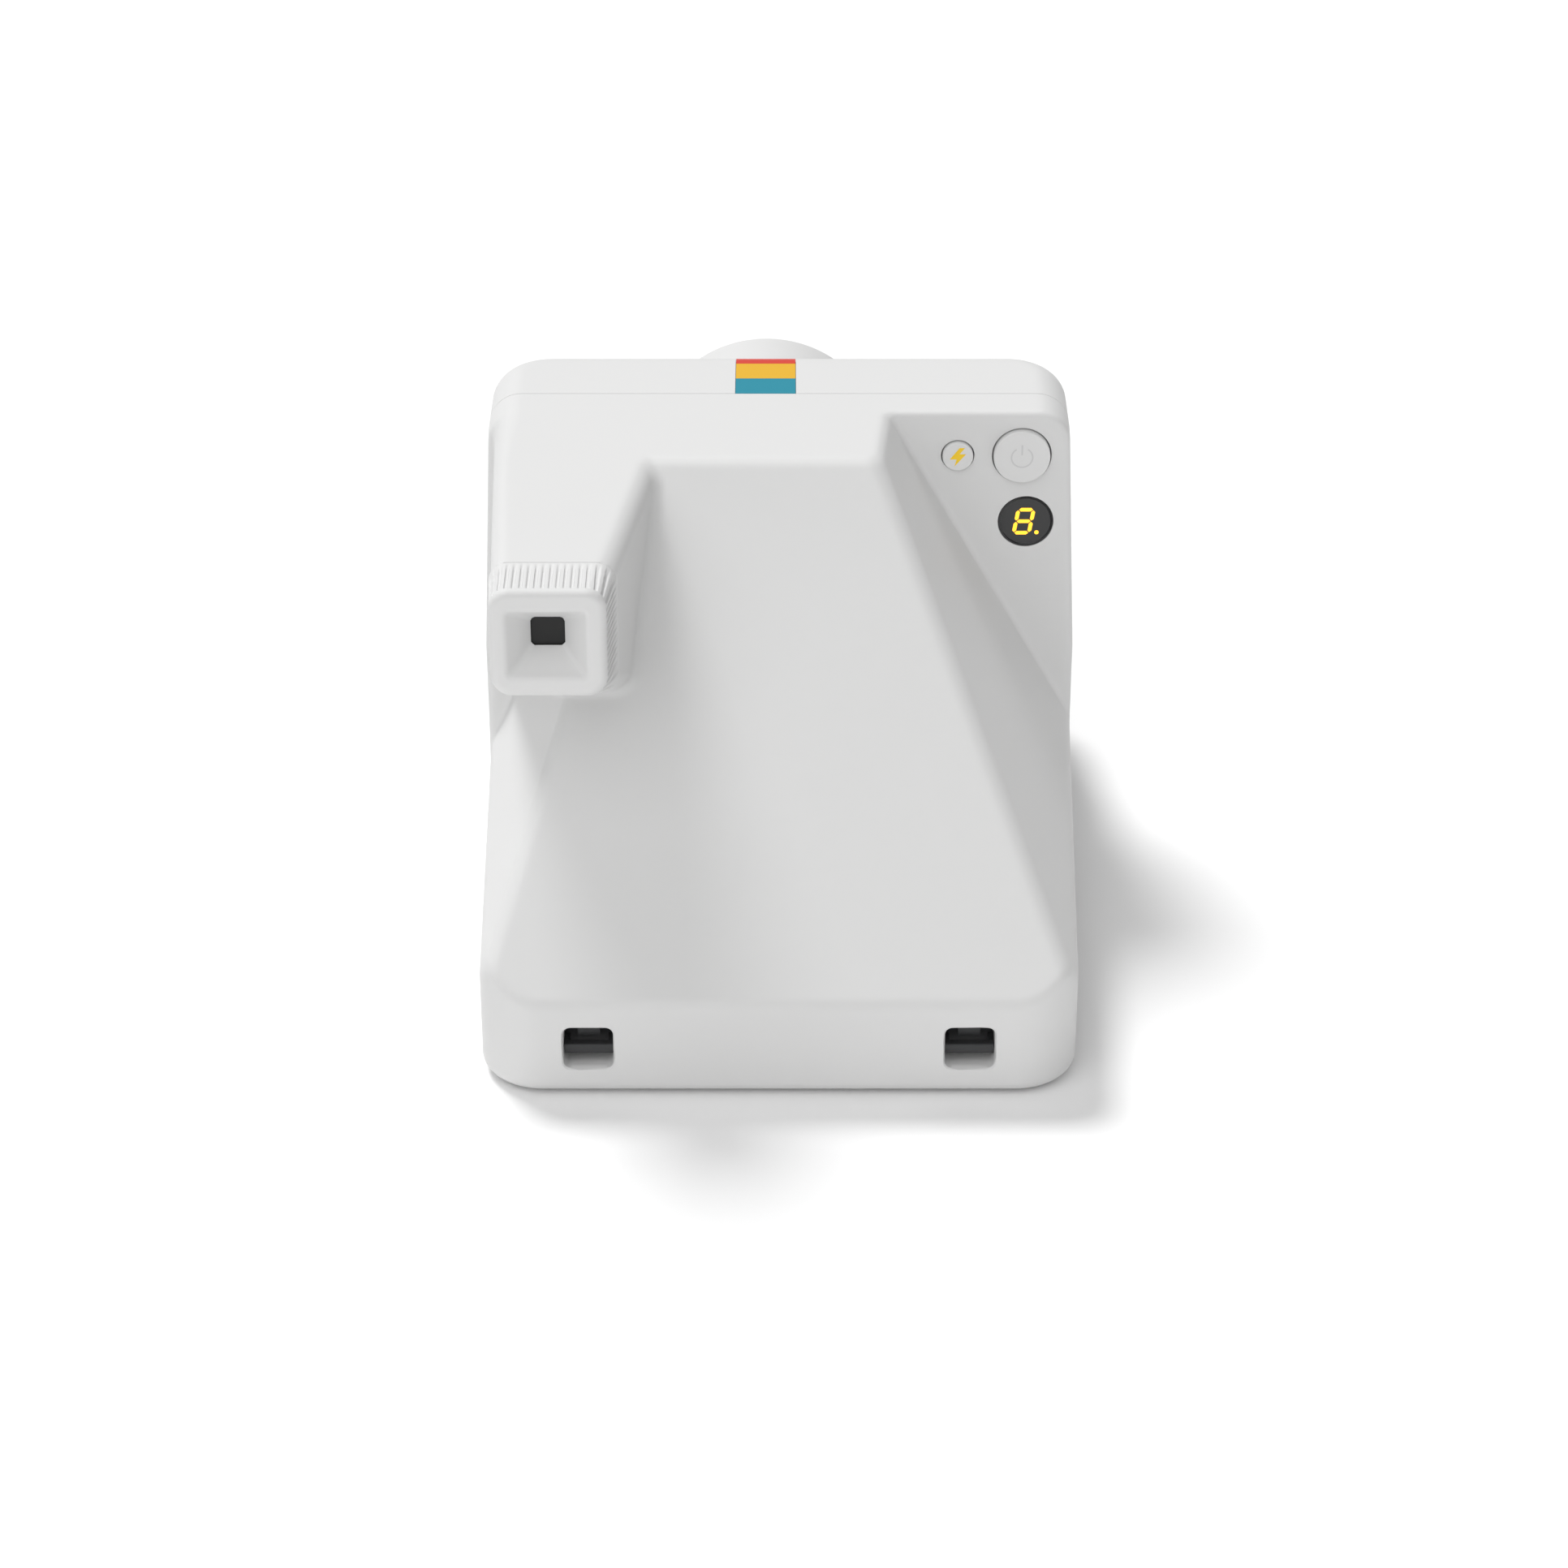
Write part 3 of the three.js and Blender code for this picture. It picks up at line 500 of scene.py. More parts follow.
def make_materials():
    return {
        "white": plastic("white_shell", (0.70, 0.70, 0.697), 0.6),
        "key": plastic("white_key", (0.73, 0.73, 0.727), 0.5, 0.3, 0.003),
        "red": plastic("red_key", (0.62, 0.05, 0.03), 0.3, 0.3, 0.002, 0.04),
        "black": plastic("black_plastic", (0.012, 0.012, 0.013), 0.5, 0.3, 0.006, 0.2),
        "dark": plastic("dark_plastic", (0.028, 0.029, 0.031), 0.5, 0.3, 0.006, 0.2),
        "gloss": plastic("black_gloss", (0.006, 0.006, 0.007), 0.08, 1.5, 0.0005, 0.1),
        # eyepiece window: near-black, a painted shade standing in for the dark finder tube behind the glass
        "painted_shade": plastic("eyepiece_painted_shade", (0.006, 0.006, 0.006), 0.6, 0.3, 0.004, 0.3),
        "slate": plastic("display_face", (0.033, 0.033, 0.034), 0.35, 0.25, 0.001, 0.1),
        "clear": clear("clear_window", (0.95, 0.97, 0.98)),
        "lens": clear("lens_glass", (0.72, 0.78, 0.95), 0.01, 1.6),
        "steel": metal("steel", (0.62, 0.63, 0.64), 0.32, (1, 12, 12)),
        "silver": metal("mirror_silver", (0.92, 0.93, 0.94), 0.03),
        "chrome": metal("reflector", (0.86, 0.86, 0.87), 0.12),
        "rubber": plastic("rubber", (0.03, 0.03, 0.032), 0.75, 0.25, 0.02, 0.2),
        "board": plastic("board", (0.02, 0.09, 0.045), 0.35, 0.4, 0.01, 0.3),
        "cell": metal("cell", (0.5, 0.52, 0.54), 0.4),
        "film": plastic("film", (0.03, 0.03, 0.034), 0.6, 0.4, 0.004, 0.1),
        "nylon": plastic("nylon", (0.74, 0.73, 0.68), 0.5, 0.3, 0.004, 0.05),
        "teal": plastic("inlay_teal", (0.005, 0.26, 0.36), 0.36, 0.3, 0.002, 0.02),
        "sand": plastic("inlay_sand", (0.8, 0.45, 0.015), 0.36, 0.3, 0.002, 0.02),
        "coral": plastic("inlay_coral", (0.68, 0.045, 0.025), 0.36, 0.3, 0.002, 0.02),
        "yellow": plastic("yellow_print", (0.95, 0.62, 0.015), 0.4, 0.2, 0.001, 0.02),
        "grey": plastic("grey_print", (0.62, 0.62, 0.62), 0.4, 0.2, 0.001, 0.02),
        "amber": glowing("amber_light", (1.0, 0.52, 0.03), 1.1),
    }


def dress(piece, material, slot=None):
    piece.data.materials.clear()
    piece.data.materials.append(material)
    return piece


# ---- shells --------------------------------------------------------------------------------------
def hole_tool(x, z, radius, face, into, chamfer=0.22, reach=6):
    """Cutter for a round hole with a small chamfer at the face; into is the direction of the drill."""
    wide = radius + chamfer + 0.6
    profile = [(0, face - into * 2), (wide, face - into * 2), (wide, face - into * 0.6),
               (radius + chamfer, face), (radius, face + into * chamfer),
               (radius, face + into * reach), (0, face + into * reach)]
    return lathe("tool", "y", (x, z), profile)


def slab_tool(axis, points, low, high):
    return slab("tool", axis, points, low, high)


def strap_tool(side):
    ring = shifted(outline(STRAP_W, STRAP_H, 1.4), side * STRAP_X, STRAP_Z)
    flare = shifted(outline(STRAP_W + 0.7, STRAP_H + 0.7, 1.7), side * STRAP_X, STRAP_Z)
    return loft("tool", "y", [
        (ring, REAR_Y - 7), (ring, REAR_Y - 0.3), (flare, REAR_Y + 0.08), (flare, REAR_Y + 2)])


def well(side):
    """Solid that the strap opening is cut into."""
    ring = shifted(outline(STRAP_W + 2.4, STRAP_H + 2.4, 2.2), side * STRAP_X, STRAP_Z)
    return slab("well", "y", ring, REAR_Y - 8.2, REAR_Y - 1.4)


def base_outline(inset, front):
    """Plan of the bottom plate, inside the walls."""
    radius = 8.4
    half = HALF_W - inset
    points = arc(REAR_HALF_W - inset - radius, REAR_Y - inset - radius, radius, 0, 90, 10)
    points += [(-u, v) for u, v in reversed(points)]
    points += [(-half, REAR_TAPER_Y), (-half, front), (half, front), (half, REAR_TAPER_Y)]
    return points


def far_box(x=(-90, 90), y=(-120, 120), z=(-40, 140)):
    """Cutter that reaches past the whole camera on each side it isn't limited on."""
    return block("tool", x, y, z)


def make_housings():
    whole = field_mesh("whole", body_field, (-58.5, -46, -1), (58.5, 77, 96), GRID, SHELL_WALL)
    for side in (-1, 1):
        boolean(whole, well(side), "UNION")
    boolean(whole, slab_tool("z", base_outline(2.55, -60), -5, 3.3))
    front = new_object("front_shell", whole.data.copy())
    boolean(front, far_box(y=(-120, SEAM_Y - SEAM_HALF)), "INTERSECT")
    rear = new_object("rear_shell", whole.data.copy())
    boolean(rear, far_box(y=(SEAM_Y + SEAM_HALF, 120)), "INTERSECT")
    bpy.data.objects.remove(whole)
    return front, rear


def cut_front(front):
    doorway = far_box(y=(-120, DOOR_Y + 0.35), z=(-40, DOOR_TOP + 0.3))
    film_way = far_box(x=(-50.5, 50.5), y=(-60, -41), z=(-40, 27.5))
    latch = shifted(outline(LATCH[2] + 0.5, LATCH[3] + 0.5, 1.5), LATCH[0], LATCH[1])
    cut_all(front, [
        doorway, film_way, slab_tool("x", latch, 50, 60), hole_tool(*LENS, LENS_HOLE, FACE_Y, 1),
        slab_tool("y", shifted(outline(26.2, 15.2, 2.5), *FLASH_WINDOW[:2]), -48, -40),
        slab_tool("y", shifted(outline(13.2, 11.2, 2.5), *FINDER_WINDOW[:2]), -48, -40),
        hole_tool(*SENSOR[:2], SENSOR[2] + 0.1, FACE_Y, 1),
        hole_tool(*SHUTTER[:2], SHUTTER[2] + 0.3, FACE_Y, 1),
        hole_tool(*TIMER[:2], TIMER[2] + 0.3, FACE_Y, 1),
    ])
    return front


def cut_rear(rear):
    port = shifted(outline(8.6, 3.6, 1.2), -4, 9.7)
    cut_all(rear, [
        strap_tool(-1), strap_tool(1), slab_tool("x", port, -60, -50),
        hole_tool(*POWER[:2], POWER[2] + 0.28, FACET_Y, -1, 0.06),
        hole_tool(*FLASH_KEY[:2], FLASH_KEY[2] + 0.24, FACET_Y, -1, 0.06),
        hole_tool(*DISPLAY[:2], DISPLAY[2] + 0.08, FACET_Y, -1, 0.1),
        slab_tool("y", shifted(outline(11, 10.4, 0.4), *EYE), CUP_Y - 8, CUP_Y + 3),
    ])
    return rear


def make_door():
    door = field_mesh("door_shell", door_field, (-58.5, -77, -1), (58.5, -43, 33), GRID, SHELL_WALL)
    x, z, w, h = FILM_SLOT
    inner = 49.7
    outer = 52.4
    cut_all(door, [
        slab_tool("y", shifted(outline(w, h, 1.2), x, z), -80, -70),
        block("tool", (-inner, inner), (-47.5, -40), (3.4, 27.6)),
        far_box(y=(HINGE[0], -40), z=(-10, HINGE[1])),
        block("tool", (inner, outer), (-50.2, -40), (-5, 7)),
        block("tool", (-outer, -inner), (-50.2, -40), (-5, 7)),
    ])
    return door


# ---- lens, shutter button and front windows ------------------------------------------------------
def lens_parts(m):
    barrel = lathe("barrel", "y", LENS, [
        (18.0, -67.0), *arc(18.5, -67.5, 0.5, 180, 270, 4), *arc(22.0, -67.2, 0.8, 270, 360, 6),
        (23.1, -61), (23.9, -52), (24.4, -46.4), (24.2, -46.1), (24.2, -45.7), (24.6, -45.4),
        (24.6, -44.1), (19.7, -44.1), (19.7, -40.6), (18, -40.6)], 160)
    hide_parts("lens_barrel")
    terraces = []
    for k in range(6):
        radius = 16.9 - k * 1.28
        along = -65.4 + k * 0.68
        terraces += [(radius, along), (radius - 0.1, along + 0.5)]
    bezel = lathe("bezel", "y", LENS, [
        (9.2, -59.8), (12.2, -59.8), (12.2, -59), (17.8, -59), (17.8, -65.4), *terraces, (9.2, -61.4)], 128)
    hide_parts("lens_bezel")
    glass = lathe("front_glass", "y", LENS, [
        (0, -63), (2, -62.93), (4, -62.67), (6, -62.2), (8, -61.5), (8.9, -61.1), (9, -60.9),
        (9, -60), (7, -59.3), (4, -58.7), (0, -58.4)], 96)
    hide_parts("front_lens")
    rings = [(10, -58.6)]
    for k in range(9):
        rings += [(9.6, -58 + k * 2), (10, -57.4 + k * 2)]
    tube = lathe("tube_inner", "y", LENS, [
        *rings, (10, -39), (12, -39), (17.8, -41), (17.8, -45), (12, -45), (12, -58.6)], 96)
    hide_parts("lens_tube")
    for piece, look, slot in ((barrel, "white", "white_shell"), (bezel, "black", "black_plastic"),
                              (glass, "lens", "lens_glass"), (tube, "black", "black_plastic")):
        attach(smooth(dress(piece, m[look], slot), 35), "body")


def ribbed_window(name, spec, count, depth):
    """Flash window: a clear slab whose outer face carries upright prisms."""
    x, z, w, h = spec
    pitch = w / count
    face = FACE_Y + 0.5
    zigzag = [(x - w / 2 + k * pitch / 2, face - depth * (k % 2)) for k in range(2 * count + 1)]
    back = [(x + w / 2, FACE_Y + 1.8), (x - w / 2, FACE_Y + 1.8)]
    pane = slab(name, "z", zigzag + back, z - h / 2, z + h / 2)
    rim = shifted(outline(w - 0.1, h - 0.1, 2.4), x, z)
    return boolean(pane, slab_tool("y", rim, FACE_Y - 1, FACE_Y + 3), "INTERSECT")


def front_parts(m):
    flash = ribbed_window("flash_pane", FLASH_WINDOW, 14, 0.3)
    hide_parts("flash_window")
    x, z, w, h = FINDER_WINDOW
    finder = slab("finder_pane", "y", shifted(outline(w, h, 2.4), x, z), FACE_Y + 0.3, FACE_Y + 1.8, 0.2)
    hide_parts("finder_window")
    sensor = lathe("sensor_pane", "y", SENSOR[:2], [
        (0, -43.8), (2.0, -43.8), (2.4, -43.5), (2.4, -42), (0, -42)], 48)
    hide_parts("sensor_window")
    for piece, look, slot in ((flash, "clear", "clear_window"), (finder, "gloss", "smoked_window"),
                              (sensor, "gloss", "smoked_window")):
        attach(smooth(dress(piece, m[look], slot), 30), "body")


KEY_EDGE = 0.28                 # rounding of a key cap's rim
ICON_DEPTH = 0.12
FLANGE_Y = -2.45                # outer side of a key's flange, measured from the face it stands in
BACK_Y = -3.2
STEM_Y = -4.2
STEM_RADIUS = 1.6


def round_key(name, spec, face, out, proud, flange, dish):
    """Key cap with a soft edge, dished face, flange and stem; out is the side it stands out on."""
    x, z, radius = spec

    def at(along):
        return face + out * along

    rim = [(radius - KEY_EDGE + KEY_EDGE * math.sin(a), at(proud - KEY_EDGE + KEY_EDGE * math.cos(a)))
           for a in np.radians(np.linspace(0, 90, 6))]
    dished = [(radius * f, at(proud - dish * math.cos(f * math.pi / 2) ** 2))
              for f in (0, 0.2, 0.4, 0.6, 0.8)]
    wide = radius + flange
    return lathe(name, "y", (x, z), [
        *dished, *rim, (radius, at(FLANGE_Y)), (wide, at(FLANGE_Y)), (wide, at(BACK_Y)),
        (STEM_RADIUS, at(BACK_Y)), (STEM_RADIUS, at(STEM_Y)), (0, at(STEM_Y))], 96)


def bolt_icon(spec, y, size):
    """Small lightning sign."""
    x, z = spec[:2]
    shape = [(0.08, 0.5), (-0.4, -0.12), (-0.06, -0.12), (-0.16, -0.5),
             (0.4, 0.16), (0.08, 0.16), (0.34, 0.5)]
    points = [(x - u * size, z + v * size) for u, v in shape]
    return slab("bolt_icon", "y", points, y - ICON_DEPTH, y)


def power_icon(spec, y):
    """Standard power sign: an open ring and a bar."""
    x, z = spec[:2]
    outer = arc(x, z, 2.15, 122, 418, 40)
    inner = arc(x, z, 1.85, 418, 122, 40)
    bar = [(x - 0.16, z + 0.5), (x + 0.16, z + 0.5), (x + 0.16, z + 2.6), (x - 0.16, z + 2.6)]
    signs = [slab("sign", "y", points, y - ICON_DEPTH, y) for points in (outer + inner, bar)]
    return merge("power_icon", signs)


def keys(m):
    made = [
        (("power_cap", POWER, FACET_Y, 1, 1.0, 0.8, 0.0),
         "power_button", "power_key", "key", "white_key"),
        (("flash_cap", FLASH_KEY, FACET_Y, 1, 0.8, 0.8, 0.0),
         "flash_button", "flash_key", "key", "white_key"),
        (("shutter_cap", SHUTTER, FACE_Y, -1, 1.6, 0.9, 0.5),
         "shutter_button", "shutter_key", "red", "red_key"),
        (("timer_cap", TIMER, FACE_Y, -1, 1.2, 0.9, 0.3),
         "timer_button", "timer_key", "key", "white_key"),
    ]
    for spec, node, body, look, slot in made:
        cap = round_key(*spec)
        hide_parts(node)
        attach(smooth(dress(cap, m[look], slot), 35), body)
    bolt = bolt_icon(FLASH_KEY, FACET_Y + 0.83, 3.8)
    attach(dress(bolt, m["yellow"], "white_key"), "flash_key")
    power = power_icon(POWER, FACET_Y + 1.02)
    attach(dress(power, m["grey"], "white_key"), "power_key")
    y, z, length, height = LATCH
    cap = shifted(outline(length, height, 1.3), y, z)
    latch = slab("latch_cap", "x", cap, HALF_W - 4, HALF_W + 0.3, 0.3)
    for k in range(4):
        groove = shifted(outline(0.7, 3.6, 0.3, 4), y - 3 + 2 * k, z)
        boolean(latch, slab_tool("x", groove, HALF_W - 0.1, HALF_W + 2))
    behind = shifted(outline(13, 7, 1.3), y + 0.5, z - 1)
    flange = slab("flange", "x", behind, HALF_W - 4.2, HALF_W - 2.6)
    latch = merge("latch_cap", [latch, flange])
    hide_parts("door_latch")
    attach(smooth(dress(latch, m["key"], "white_key"), 35), "latch")


# ---- rear display --------------------------------------------------------------------------------
SEGMENTS = (  # start and end of each bar of a seven-bar numeral, in halves of a bar's length
    ((-1, 2), (1, 2)), ((1, 2), (1, 0)), ((1, 0), (1, -2)), ((1, -2), (-1, -2)),
    ((-1, -2), (-1, 0)), ((-1, 0), (-1, 2)), ((-1, 0), (1, 0)),
)
BAR_HALF = 0.37                 # half width of a bar
BAR_GAP = 0.14
DIGIT_LEAN = 0.16
DIGIT_HALF = (1.45, 1.22)       # half lengths of a level bar and of an upright one
DIGIT_SHIFT = 0.35              # of the numeral from the display's middle
DOT = (-2.15, -2.35, 0.42)      # place from the display's middle, and radius


def segment(start, end, half):
    """Six-sided bar between two points."""
    a = np.array(start, float)
    b = np.array(end, float)
    along = (b - a) / np.linalg.norm(b - a)
    across = np.array([-along[1], along[0]]) * half
    a = a + along * BAR_GAP
    b = b - along * BAR_GAP
    tip = along * half
    corners = (a, a + tip + across, b - tip + across, b, b - tip - across, a + tip - across)
    return [tuple(p) for p in corners]


def display_parts(m):
    x, z, radius = DISPLAY
    rim = lathe("display_rim", "y", (x, z), [
        (radius - 0.45, FACET_Y - 0.12), (radius - 0.3, FACET_Y - 0.02), (radius, FACET_Y - 0.02),
        (radius, FACET_Y - 1.6), (0, FACET_Y - 1.6), (0, FACET_Y - 0.4),
        (radius - 0.45, FACET_Y - 0.4)], 96)
    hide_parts("display_window")
    inner = radius - 0.46
    face = lathe("display_face", "y", (x, z), [
        (0, FACET_Y - 0.14), (inner, FACET_Y - 0.14), (inner, FACET_Y - 0.39), (0, FACET_Y - 0.39)], 96)
    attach(smooth(dress(rim, m["gloss"], "black_gloss"), 35), "body")
    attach(smooth(dress(face, m["slate"], "black_gloss"), 35), "body")
    bars = []
    for ends in SEGMENTS:
        start, end = ((u * DIGIT_HALF[0], v * DIGIT_HALF[1]) for u, v in ends)
        shape = segment(start, end, BAR_HALF)
        points = [(x + DIGIT_SHIFT - (u + DIGIT_LEAN * v), z + v) for u, v in shape]
        bars.append(slab("bar", "y", points, FACET_Y - 0.2, FACET_Y - 0.1))
    dot = arc(x + DOT[0], z + DOT[1], DOT[2], 0, 345, 23)
    bars.append(slab("dot", "y", dot, FACET_Y - 0.2, FACET_Y - 0.1))
    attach(dress(merge("display_digit", bars), m["amber"], "black_gloss"), "body")


# ---- top inlay, strap bars, eyepiece -------------------------------------------------------------
INLAY_END = 20.5
INLAY_RADIUS = 6.0              # rounding of the head's front edge, which the inlay follows
INLAY_HALF_W = 5.7


def inlay_path(offset, start, end, steps=24):
    """Points (y, z) from the seam forward over the head's top and down round its front edge.

    start and end are lengths along that path, and offset is the height above the surface.
    """
    centre_y = FACE_Y + INLAY_RADIUS
    centre_z = TOP - INLAY_RADIUS
    flat = SEAM_Y - SEAM_HALF - centre_y
    reach = INLAY_RADIUS + offset
    points = []
    for along in np.linspace(start, end, steps):
        if along <= flat:
            points.append((centre_y + flat - along, TOP + offset))
            continue
        turn = (along - flat) / INLAY_RADIUS
        points.append((centre_y - reach * math.sin(turn), centre_z + reach * math.cos(turn)))
    return points


def inlay_piece(name, start, end, half_w, low, high):
    points = inlay_path(high, start, end) + inlay_path(low, start, end)[::-1]
    return slab(name, "x", points, LENS[0] - half_w, LENS[0] + half_w)


def inlay_parts(m):
    looks = ("teal", "sand", "coral")
    width = INLAY_END / len(looks)
    gap = 0.02
    for k, look in enumerate(looks):
        start = k * width + gap
        end = (k + 1) * width - gap
        band = inlay_piece(f"inlay_{look}", start, end, INLAY_HALF_W, -0.55, 0.0)
        dress(band, m[look], "inlay_band")
        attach(smooth(band, 30), "body")
    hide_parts("accent_inlay")


def strap_parts(m):
    for side, name in ((-1, "low"), (1, "high")):
        x = side * STRAP_X
        back = slab("back", "y", shifted(outline(8.6, 7.8, 1.3), x, STRAP_Z), 68.1, 68.9)
        bar = slab("bar", "x", shifted(outline(1.8, 1.9, 0.35, 4), 72.3, STRAP_Z - 1.25), x - 4.4, x + 4.4)
        height = (STRAP_Z - 2.1, STRAP_Z - 0.4)
        cheeks = [block("cheek", (middle - 0.45, middle + 0.45), (68.5, 72.6), height)
                  for middle in (x - 3.95, x + 3.95)]
        tab = block("tab", (x - 2, x + 2), (68.5, 71), (STRAP_Z + 0.1, STRAP_Z + 2.2), 0.2)
        lug = merge(f"strap_bar_{name}", [back, bar, *cheeks, tab])
        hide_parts(f"strap_lug_{name}")
        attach(smooth(dress(lug, m["dark"], "black_plastic"), 35), "body")


def eyepiece_parts(m):
    cup = field_mesh("cup_shell", cup_field, (28, 45.5, 68), (53, 60, 95.5), CUP_GRID)
    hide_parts("eyepiece_cup")
    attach(smooth(dress(cup, m["white"], "white_shell"), 50), "body")
    # The eyepiece window is an opaque near-black pane: painted shade in place of the dark finder tube seen
    # through the glass.
    pane = shifted(outline(8.9, 8.3, 0.5), *EYE)
    glass = slab("eyepiece_glass", "y", pane, WINDOW_Y - 1.8, WINDOW_Y - 0.1)
    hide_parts("eyepiece_window")
    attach(smooth(dress(glass, m["painted_shade"], "black_gloss"), 30), "body")


# ---- underside, feet and screws ------------------------------------------------------------------
FEET = [(-42, 62), (42, 62), (-42, -32), (42, -32)]
SCREWS = [(-30, 66), (30, 66), (-30, -36), (30, -36)]


def base_parts(m):
    plate = slab("base_plate", "z", base_outline(2.6, -43.8), 0.9, 2.8, 0.3)
    for x, y in SCREWS:
        recess = [(0, 0), (2.9, 0), (2.9, 0.9), (2.5, 1.3), (2.5, 1.9), (0, 1.9)]
        boolean(plate, lathe("tool", "z", (x, y), recess, 48))
    for k in range(9):
        groove = shifted(outline(62, 0.9, 0.4, 4), 0, 46 - 9 * k)
        boolean(plate, slab_tool("z", groove, 0, 1.25))
    ears = [block("ear", sorted((side * 50.2, side * 51.8)), (-48.5, -42), (1.6, 4.8), 0.2)
            for side in (-1, 1)]
    plate = merge("base_plate", [plate, *ears])
    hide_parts("bottom_cover")
    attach(smooth(dress(plate, m["white"], "white_shell"), 35), "body")
    for k, (x, y) in enumerate(FEET, 1):
        pad = lathe(f"pad_{k}", "z", (x, y), [
            (0, 0), (3.6, 0), (3.9, 0.1), (4, 0.3), (4, 0.85), (0, 0.85)], 48)
        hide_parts(f"foot_{k}")
        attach(smooth(dress(pad, m["rubber"], "rubber"), 35), "body")
    for k, (x, y) in enumerate(SCREWS, 1):
        head = lathe(f"screw_head_{k}", "z", (x, y), [
            (0, 1.0), (1.7, 1.0), (2.2, 1.3), (2.2, 1.85), (0, 1.85)], 32)
        for slot in ((2.2, 0.45), (0.45, 2.2)):
            boolean(head, slab_tool("z", shifted(outline(*slot, 0.1, 2), x, y), 0.5, 1.5))
        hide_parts(f"base_screw_{k}")
        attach(smooth(dress(head, m["steel"], "steel"), 35), "body")


# ---- film door and drive -------------------------------------------------------------------------
ROLLERS = {"upper": 22.6, "lower": 14.2}   # heights of the axes
ROLLER_Y = -51.0
IDLER_Y = -39.0
DRIVE_Y = -25.05
GEAR_X = (-49.9, -47.1)
TOOTH = (  # part of the pitch, and height below the tip circle
    (0.0, 0.8), (0.06, 0.72), (0.15, 0.12), (0.2, 0), (0.4, 0), (0.45, 0.12), (0.54, 0.72), (0.6, 0.8),
)


def toothed(radius, teeth):
    """Gear outline with rounded teeth."""
    points = []
    for k in range(teeth):
        for part, below in TOOTH:
            a = 2 * math.pi * (k + part) / teeth
            points.append(((radius - below) * math.cos(a), (radius - below) * math.sin(a)))
    return points


def gear(name, node, body, y, z, radius, teeth, bore, m):
    """Gear wheel at (y, z); it gets a hole for its shaft if a bore radius is given."""
    wheel = slab(name, "x", shifted(toothed(radius, teeth), y, z), *GEAR_X)
    if bore:
        boolean(wheel, slab_tool("x", arc(y, z, bore, 0, 345, 23), -60, -40))
    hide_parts(node)
    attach(smooth(dress(wheel, m["nylon"], "white_key"), 35), body)


def drive_parts(m):
    for name, z in ROLLERS.items():
        drum = lathe(f"{name}_drum", "x", (ROLLER_Y, z), [
            (0, -51.9), (1.2, -51.9), (1.4, -51.6), (1.4, -44), (3.8, -44), (4, -43.8), (4, -38),
            (3.9, -37.8), (3.9, 42.8), (4, 43), (4, 48.8), (3.8, 49), (1.4, 49), (1.4, 51.6),
            (1.2, 51.9), (0, 51.9)], 64)
        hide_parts(f"roller_{name}")
        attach(smooth(dress(drum, m["steel"], "steel"), 35), f"{name}_roller")
        gear(f"{name}_gear", f"roller_gear_{name}", f"{name}_roller", ROLLER_Y, z, 4.05, 12, 1.45, m)
    gear("idler_wheel", "idler_gear", "idler", IDLER_Y, ROLLERS["lower"], 7.7, 24, 0, m)
    gear("drive_wheel", "drive_gear", "drive", DRIVE_Y, ROLLERS["lower"], 6, 18, 0, m)


def door_parts(m):
    door = make_door()
    knuckles = []
    for side in (-1, 1):
        a = side * 45
        b = side * 49.6
        knuckles.append(lathe("knuckle", "x", HINGE, [(1.15, a), (2.3, a), (2.3, b), (1.15, b)], 48))
    door = merge("door_shell", [door, *knuckles])
    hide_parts("film_door")
    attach(smooth(dress(door, m["white"], "white_shell"), 40), "film_door")


PLAIN_NODES = {  # CAD nodes that keep their own mesh, by material
    "steel": ("hinge_pin_low", "hinge_pin_high", "roller_frame", "pick_arm", "drive_motor", "motor_worm",
              "usb_port"),
    "black": ("film_shield", "film_pack", "light_chamber", "finder_tube", "shutter_blade"),
    "dark": ("shutter_plate", "focus_carriage", "flash_capacitor", "display_module"),
    "silver": ("mirror",),
    "chrome": ("flash_reflector",),
    "clear": ("flash_lamp",),
    "lens": ("rear_lens",),
    "board": ("main_board",),
    "cell": ("battery",),
    "film": ("film_stack",),
}


def dress_frame(frame, m):
    for look, names in PLAIN_NODES.items():
        for name in names:
            dress(frame["nodes"][name], m[look])


# ---- room, light and camera ----------------------------------------------------------------------
FLOOR_HALF = 3.0                # metres
WORLD_STRENGTH = 0.33


def make_floor():
    floor, shader = new_material("floor", (0.96, 0.96, 0.96), 0.9)
    grain(floor, shader, 3.0, 0.01, 0.004)
    work = bmesh.new()
    signs = ((-1, -1), (1, -1), (1, 1), (-1, 1))
    work.faces.new([work.verts.new((sx * FLOOR_HALF, sy * FLOOR_HALF, 0)) for sx, sy in signs])
    ground = from_bmesh("floor", work)
    ground.data.materials.append(floor)


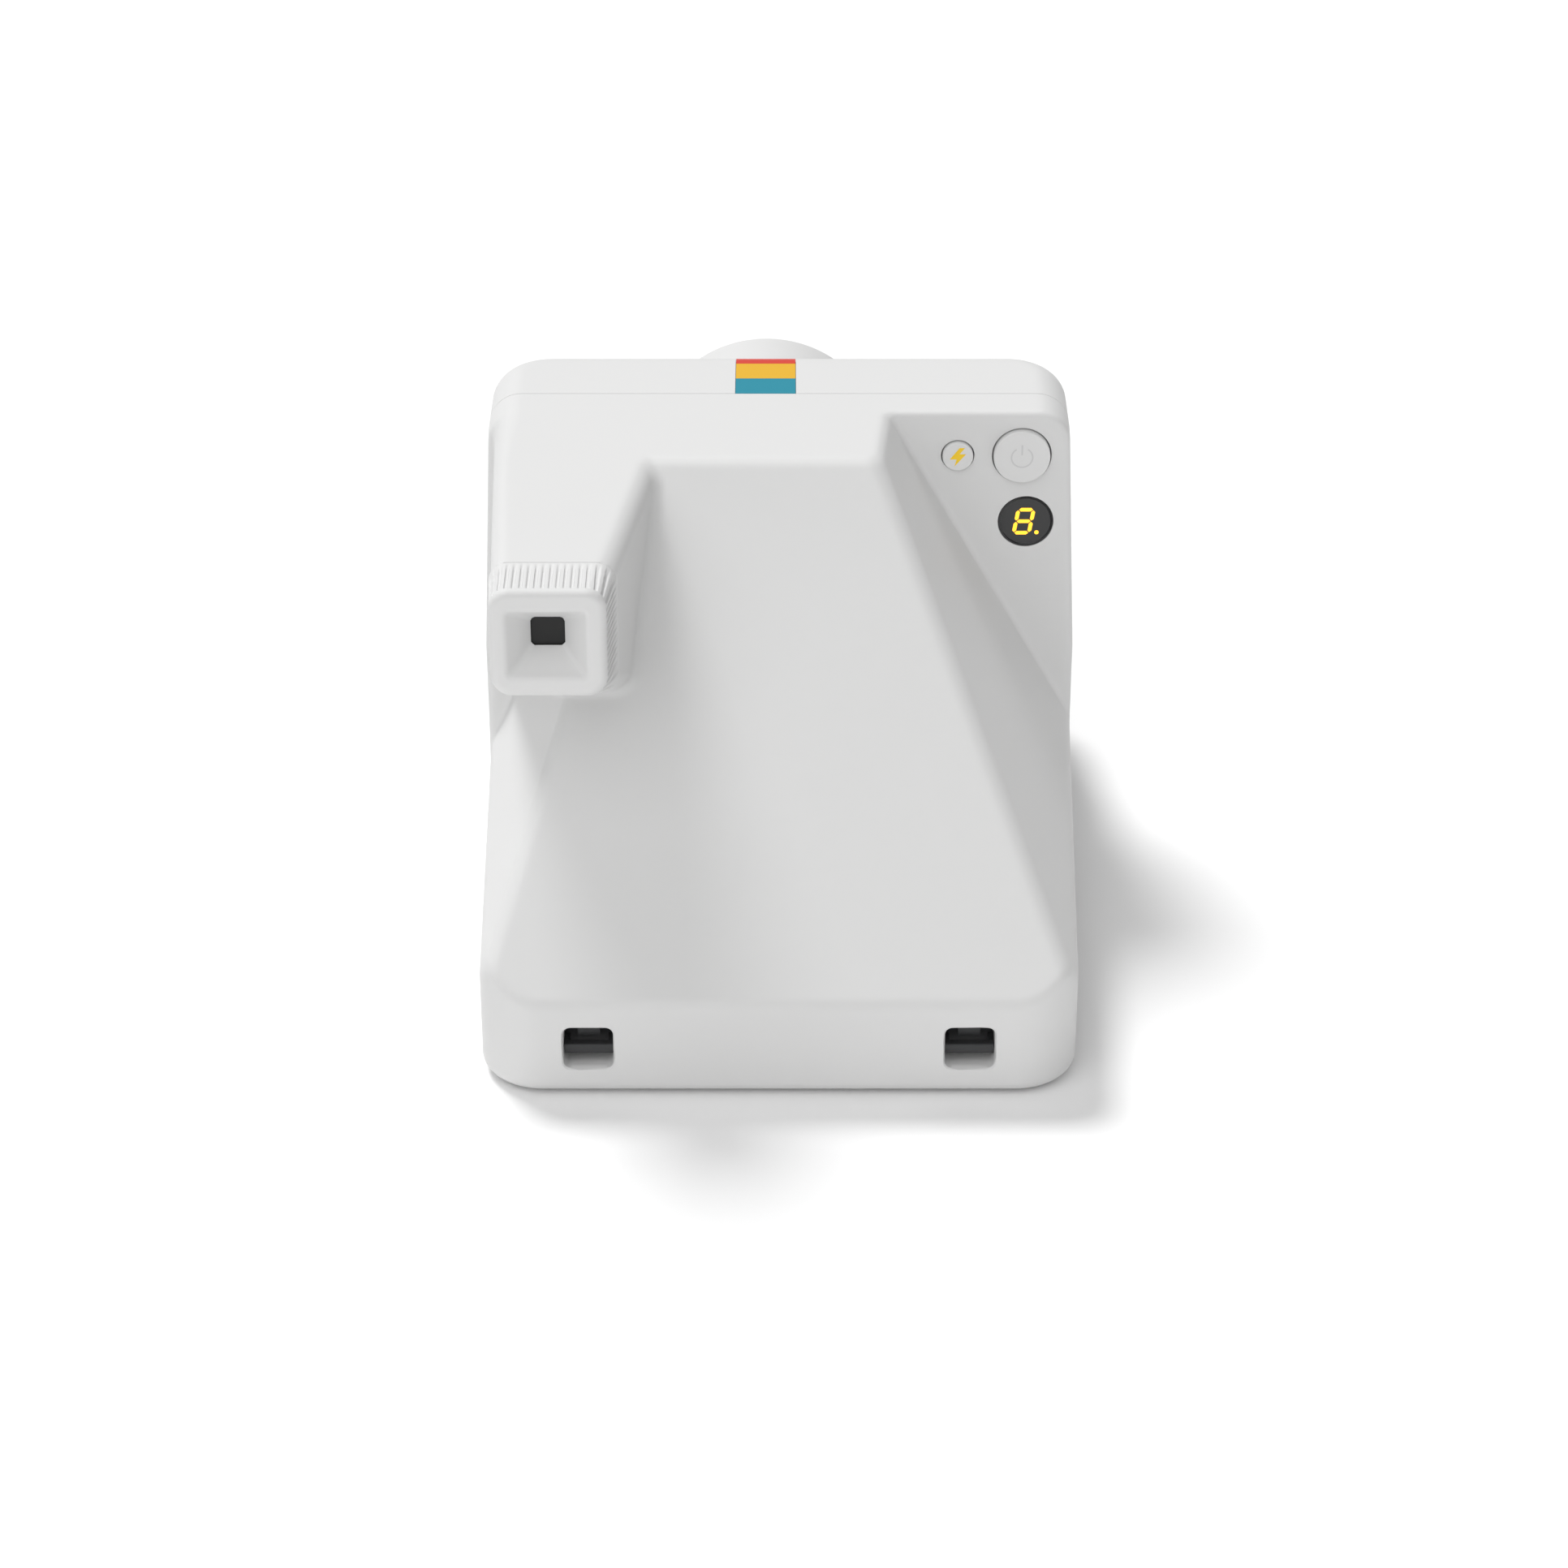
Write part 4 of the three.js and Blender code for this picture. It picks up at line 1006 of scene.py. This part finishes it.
def sun(name, towards, strength, spread):
    """Distant soft light; towards is the direction to it, spread its angle in degrees."""
    data = bpy.data.lights.new(name, "SUN")
    data.energy = strength
    data.angle = math.radians(spread)
    lamp = new_object(name, data)
    lamp.location = towards
    lamp.rotation_euler = Vector(towards).to_track_quat("Z", "Y").to_euler()


def light_room():
    world = bpy.data.worlds.new("room")
    bpy.context.scene.world = world
    world.use_nodes = True
    background = world.node_tree.nodes["Background"]
    background.inputs["Color"].default_value = (1, 1, 1, 1)
    background.inputs["Strength"].default_value = WORLD_STRENGTH
    sun("key", (0.36, -0.55, 1.0), 2.1, 20)
    sun("fill", (0.27, 0.82, 0.88), 1.22, 70)
    bpy.context.scene.view_settings.view_transform = "Standard"


ELEVATION = 30.0                # degrees, seen from straight behind the camera body
DISTANCE = 808.0
FOCAL = 95.96
SENSOR_WIDTH = 36.0
TARGET = (-0.9, 0.0, 22.0)


def make_camera():
    data = bpy.data.cameras.new("camera")
    data.sensor_width = SENSOR_WIDTH
    data.lens = FOCAL
    data.clip_start = 0.05
    data.clip_end = 20
    made = new_object("camera", data)
    e = math.radians(ELEVATION)
    target = Vector(TARGET) * MM
    made.location = target + Vector((0, math.cos(e), math.sin(e))) * DISTANCE * MM
    made.rotation_euler = (target - made.location).to_track_quat("-Z", "Y").to_euler()
    bpy.context.scene.camera = made


# ---- the scene -----------------------------------------------------------------------------------
def build():
    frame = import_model()
    m = make_materials()
    dress_frame(frame, m)
    front, rear = make_housings()
    inlay_seat = inlay_piece("tool", -1, INLAY_END + 0.08, INLAY_HALF_W + 0.08, -0.6, 2.0)
    cut_front(front)
    boolean(front, inlay_seat)
    cut_rear(rear)
    for shell, node in ((front, "front_housing"), (rear, "rear_housing")):
        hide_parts(node)
        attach(smooth(dress(shell, m["white"], "white_shell"), 40), "body")
    for make in (door_parts, eyepiece_parts, lens_parts, front_parts, keys, display_parts,
                 inlay_parts, strap_parts, base_parts, drive_parts):
        make(m)
    make_floor()
    light_room()
    make_camera()


build()
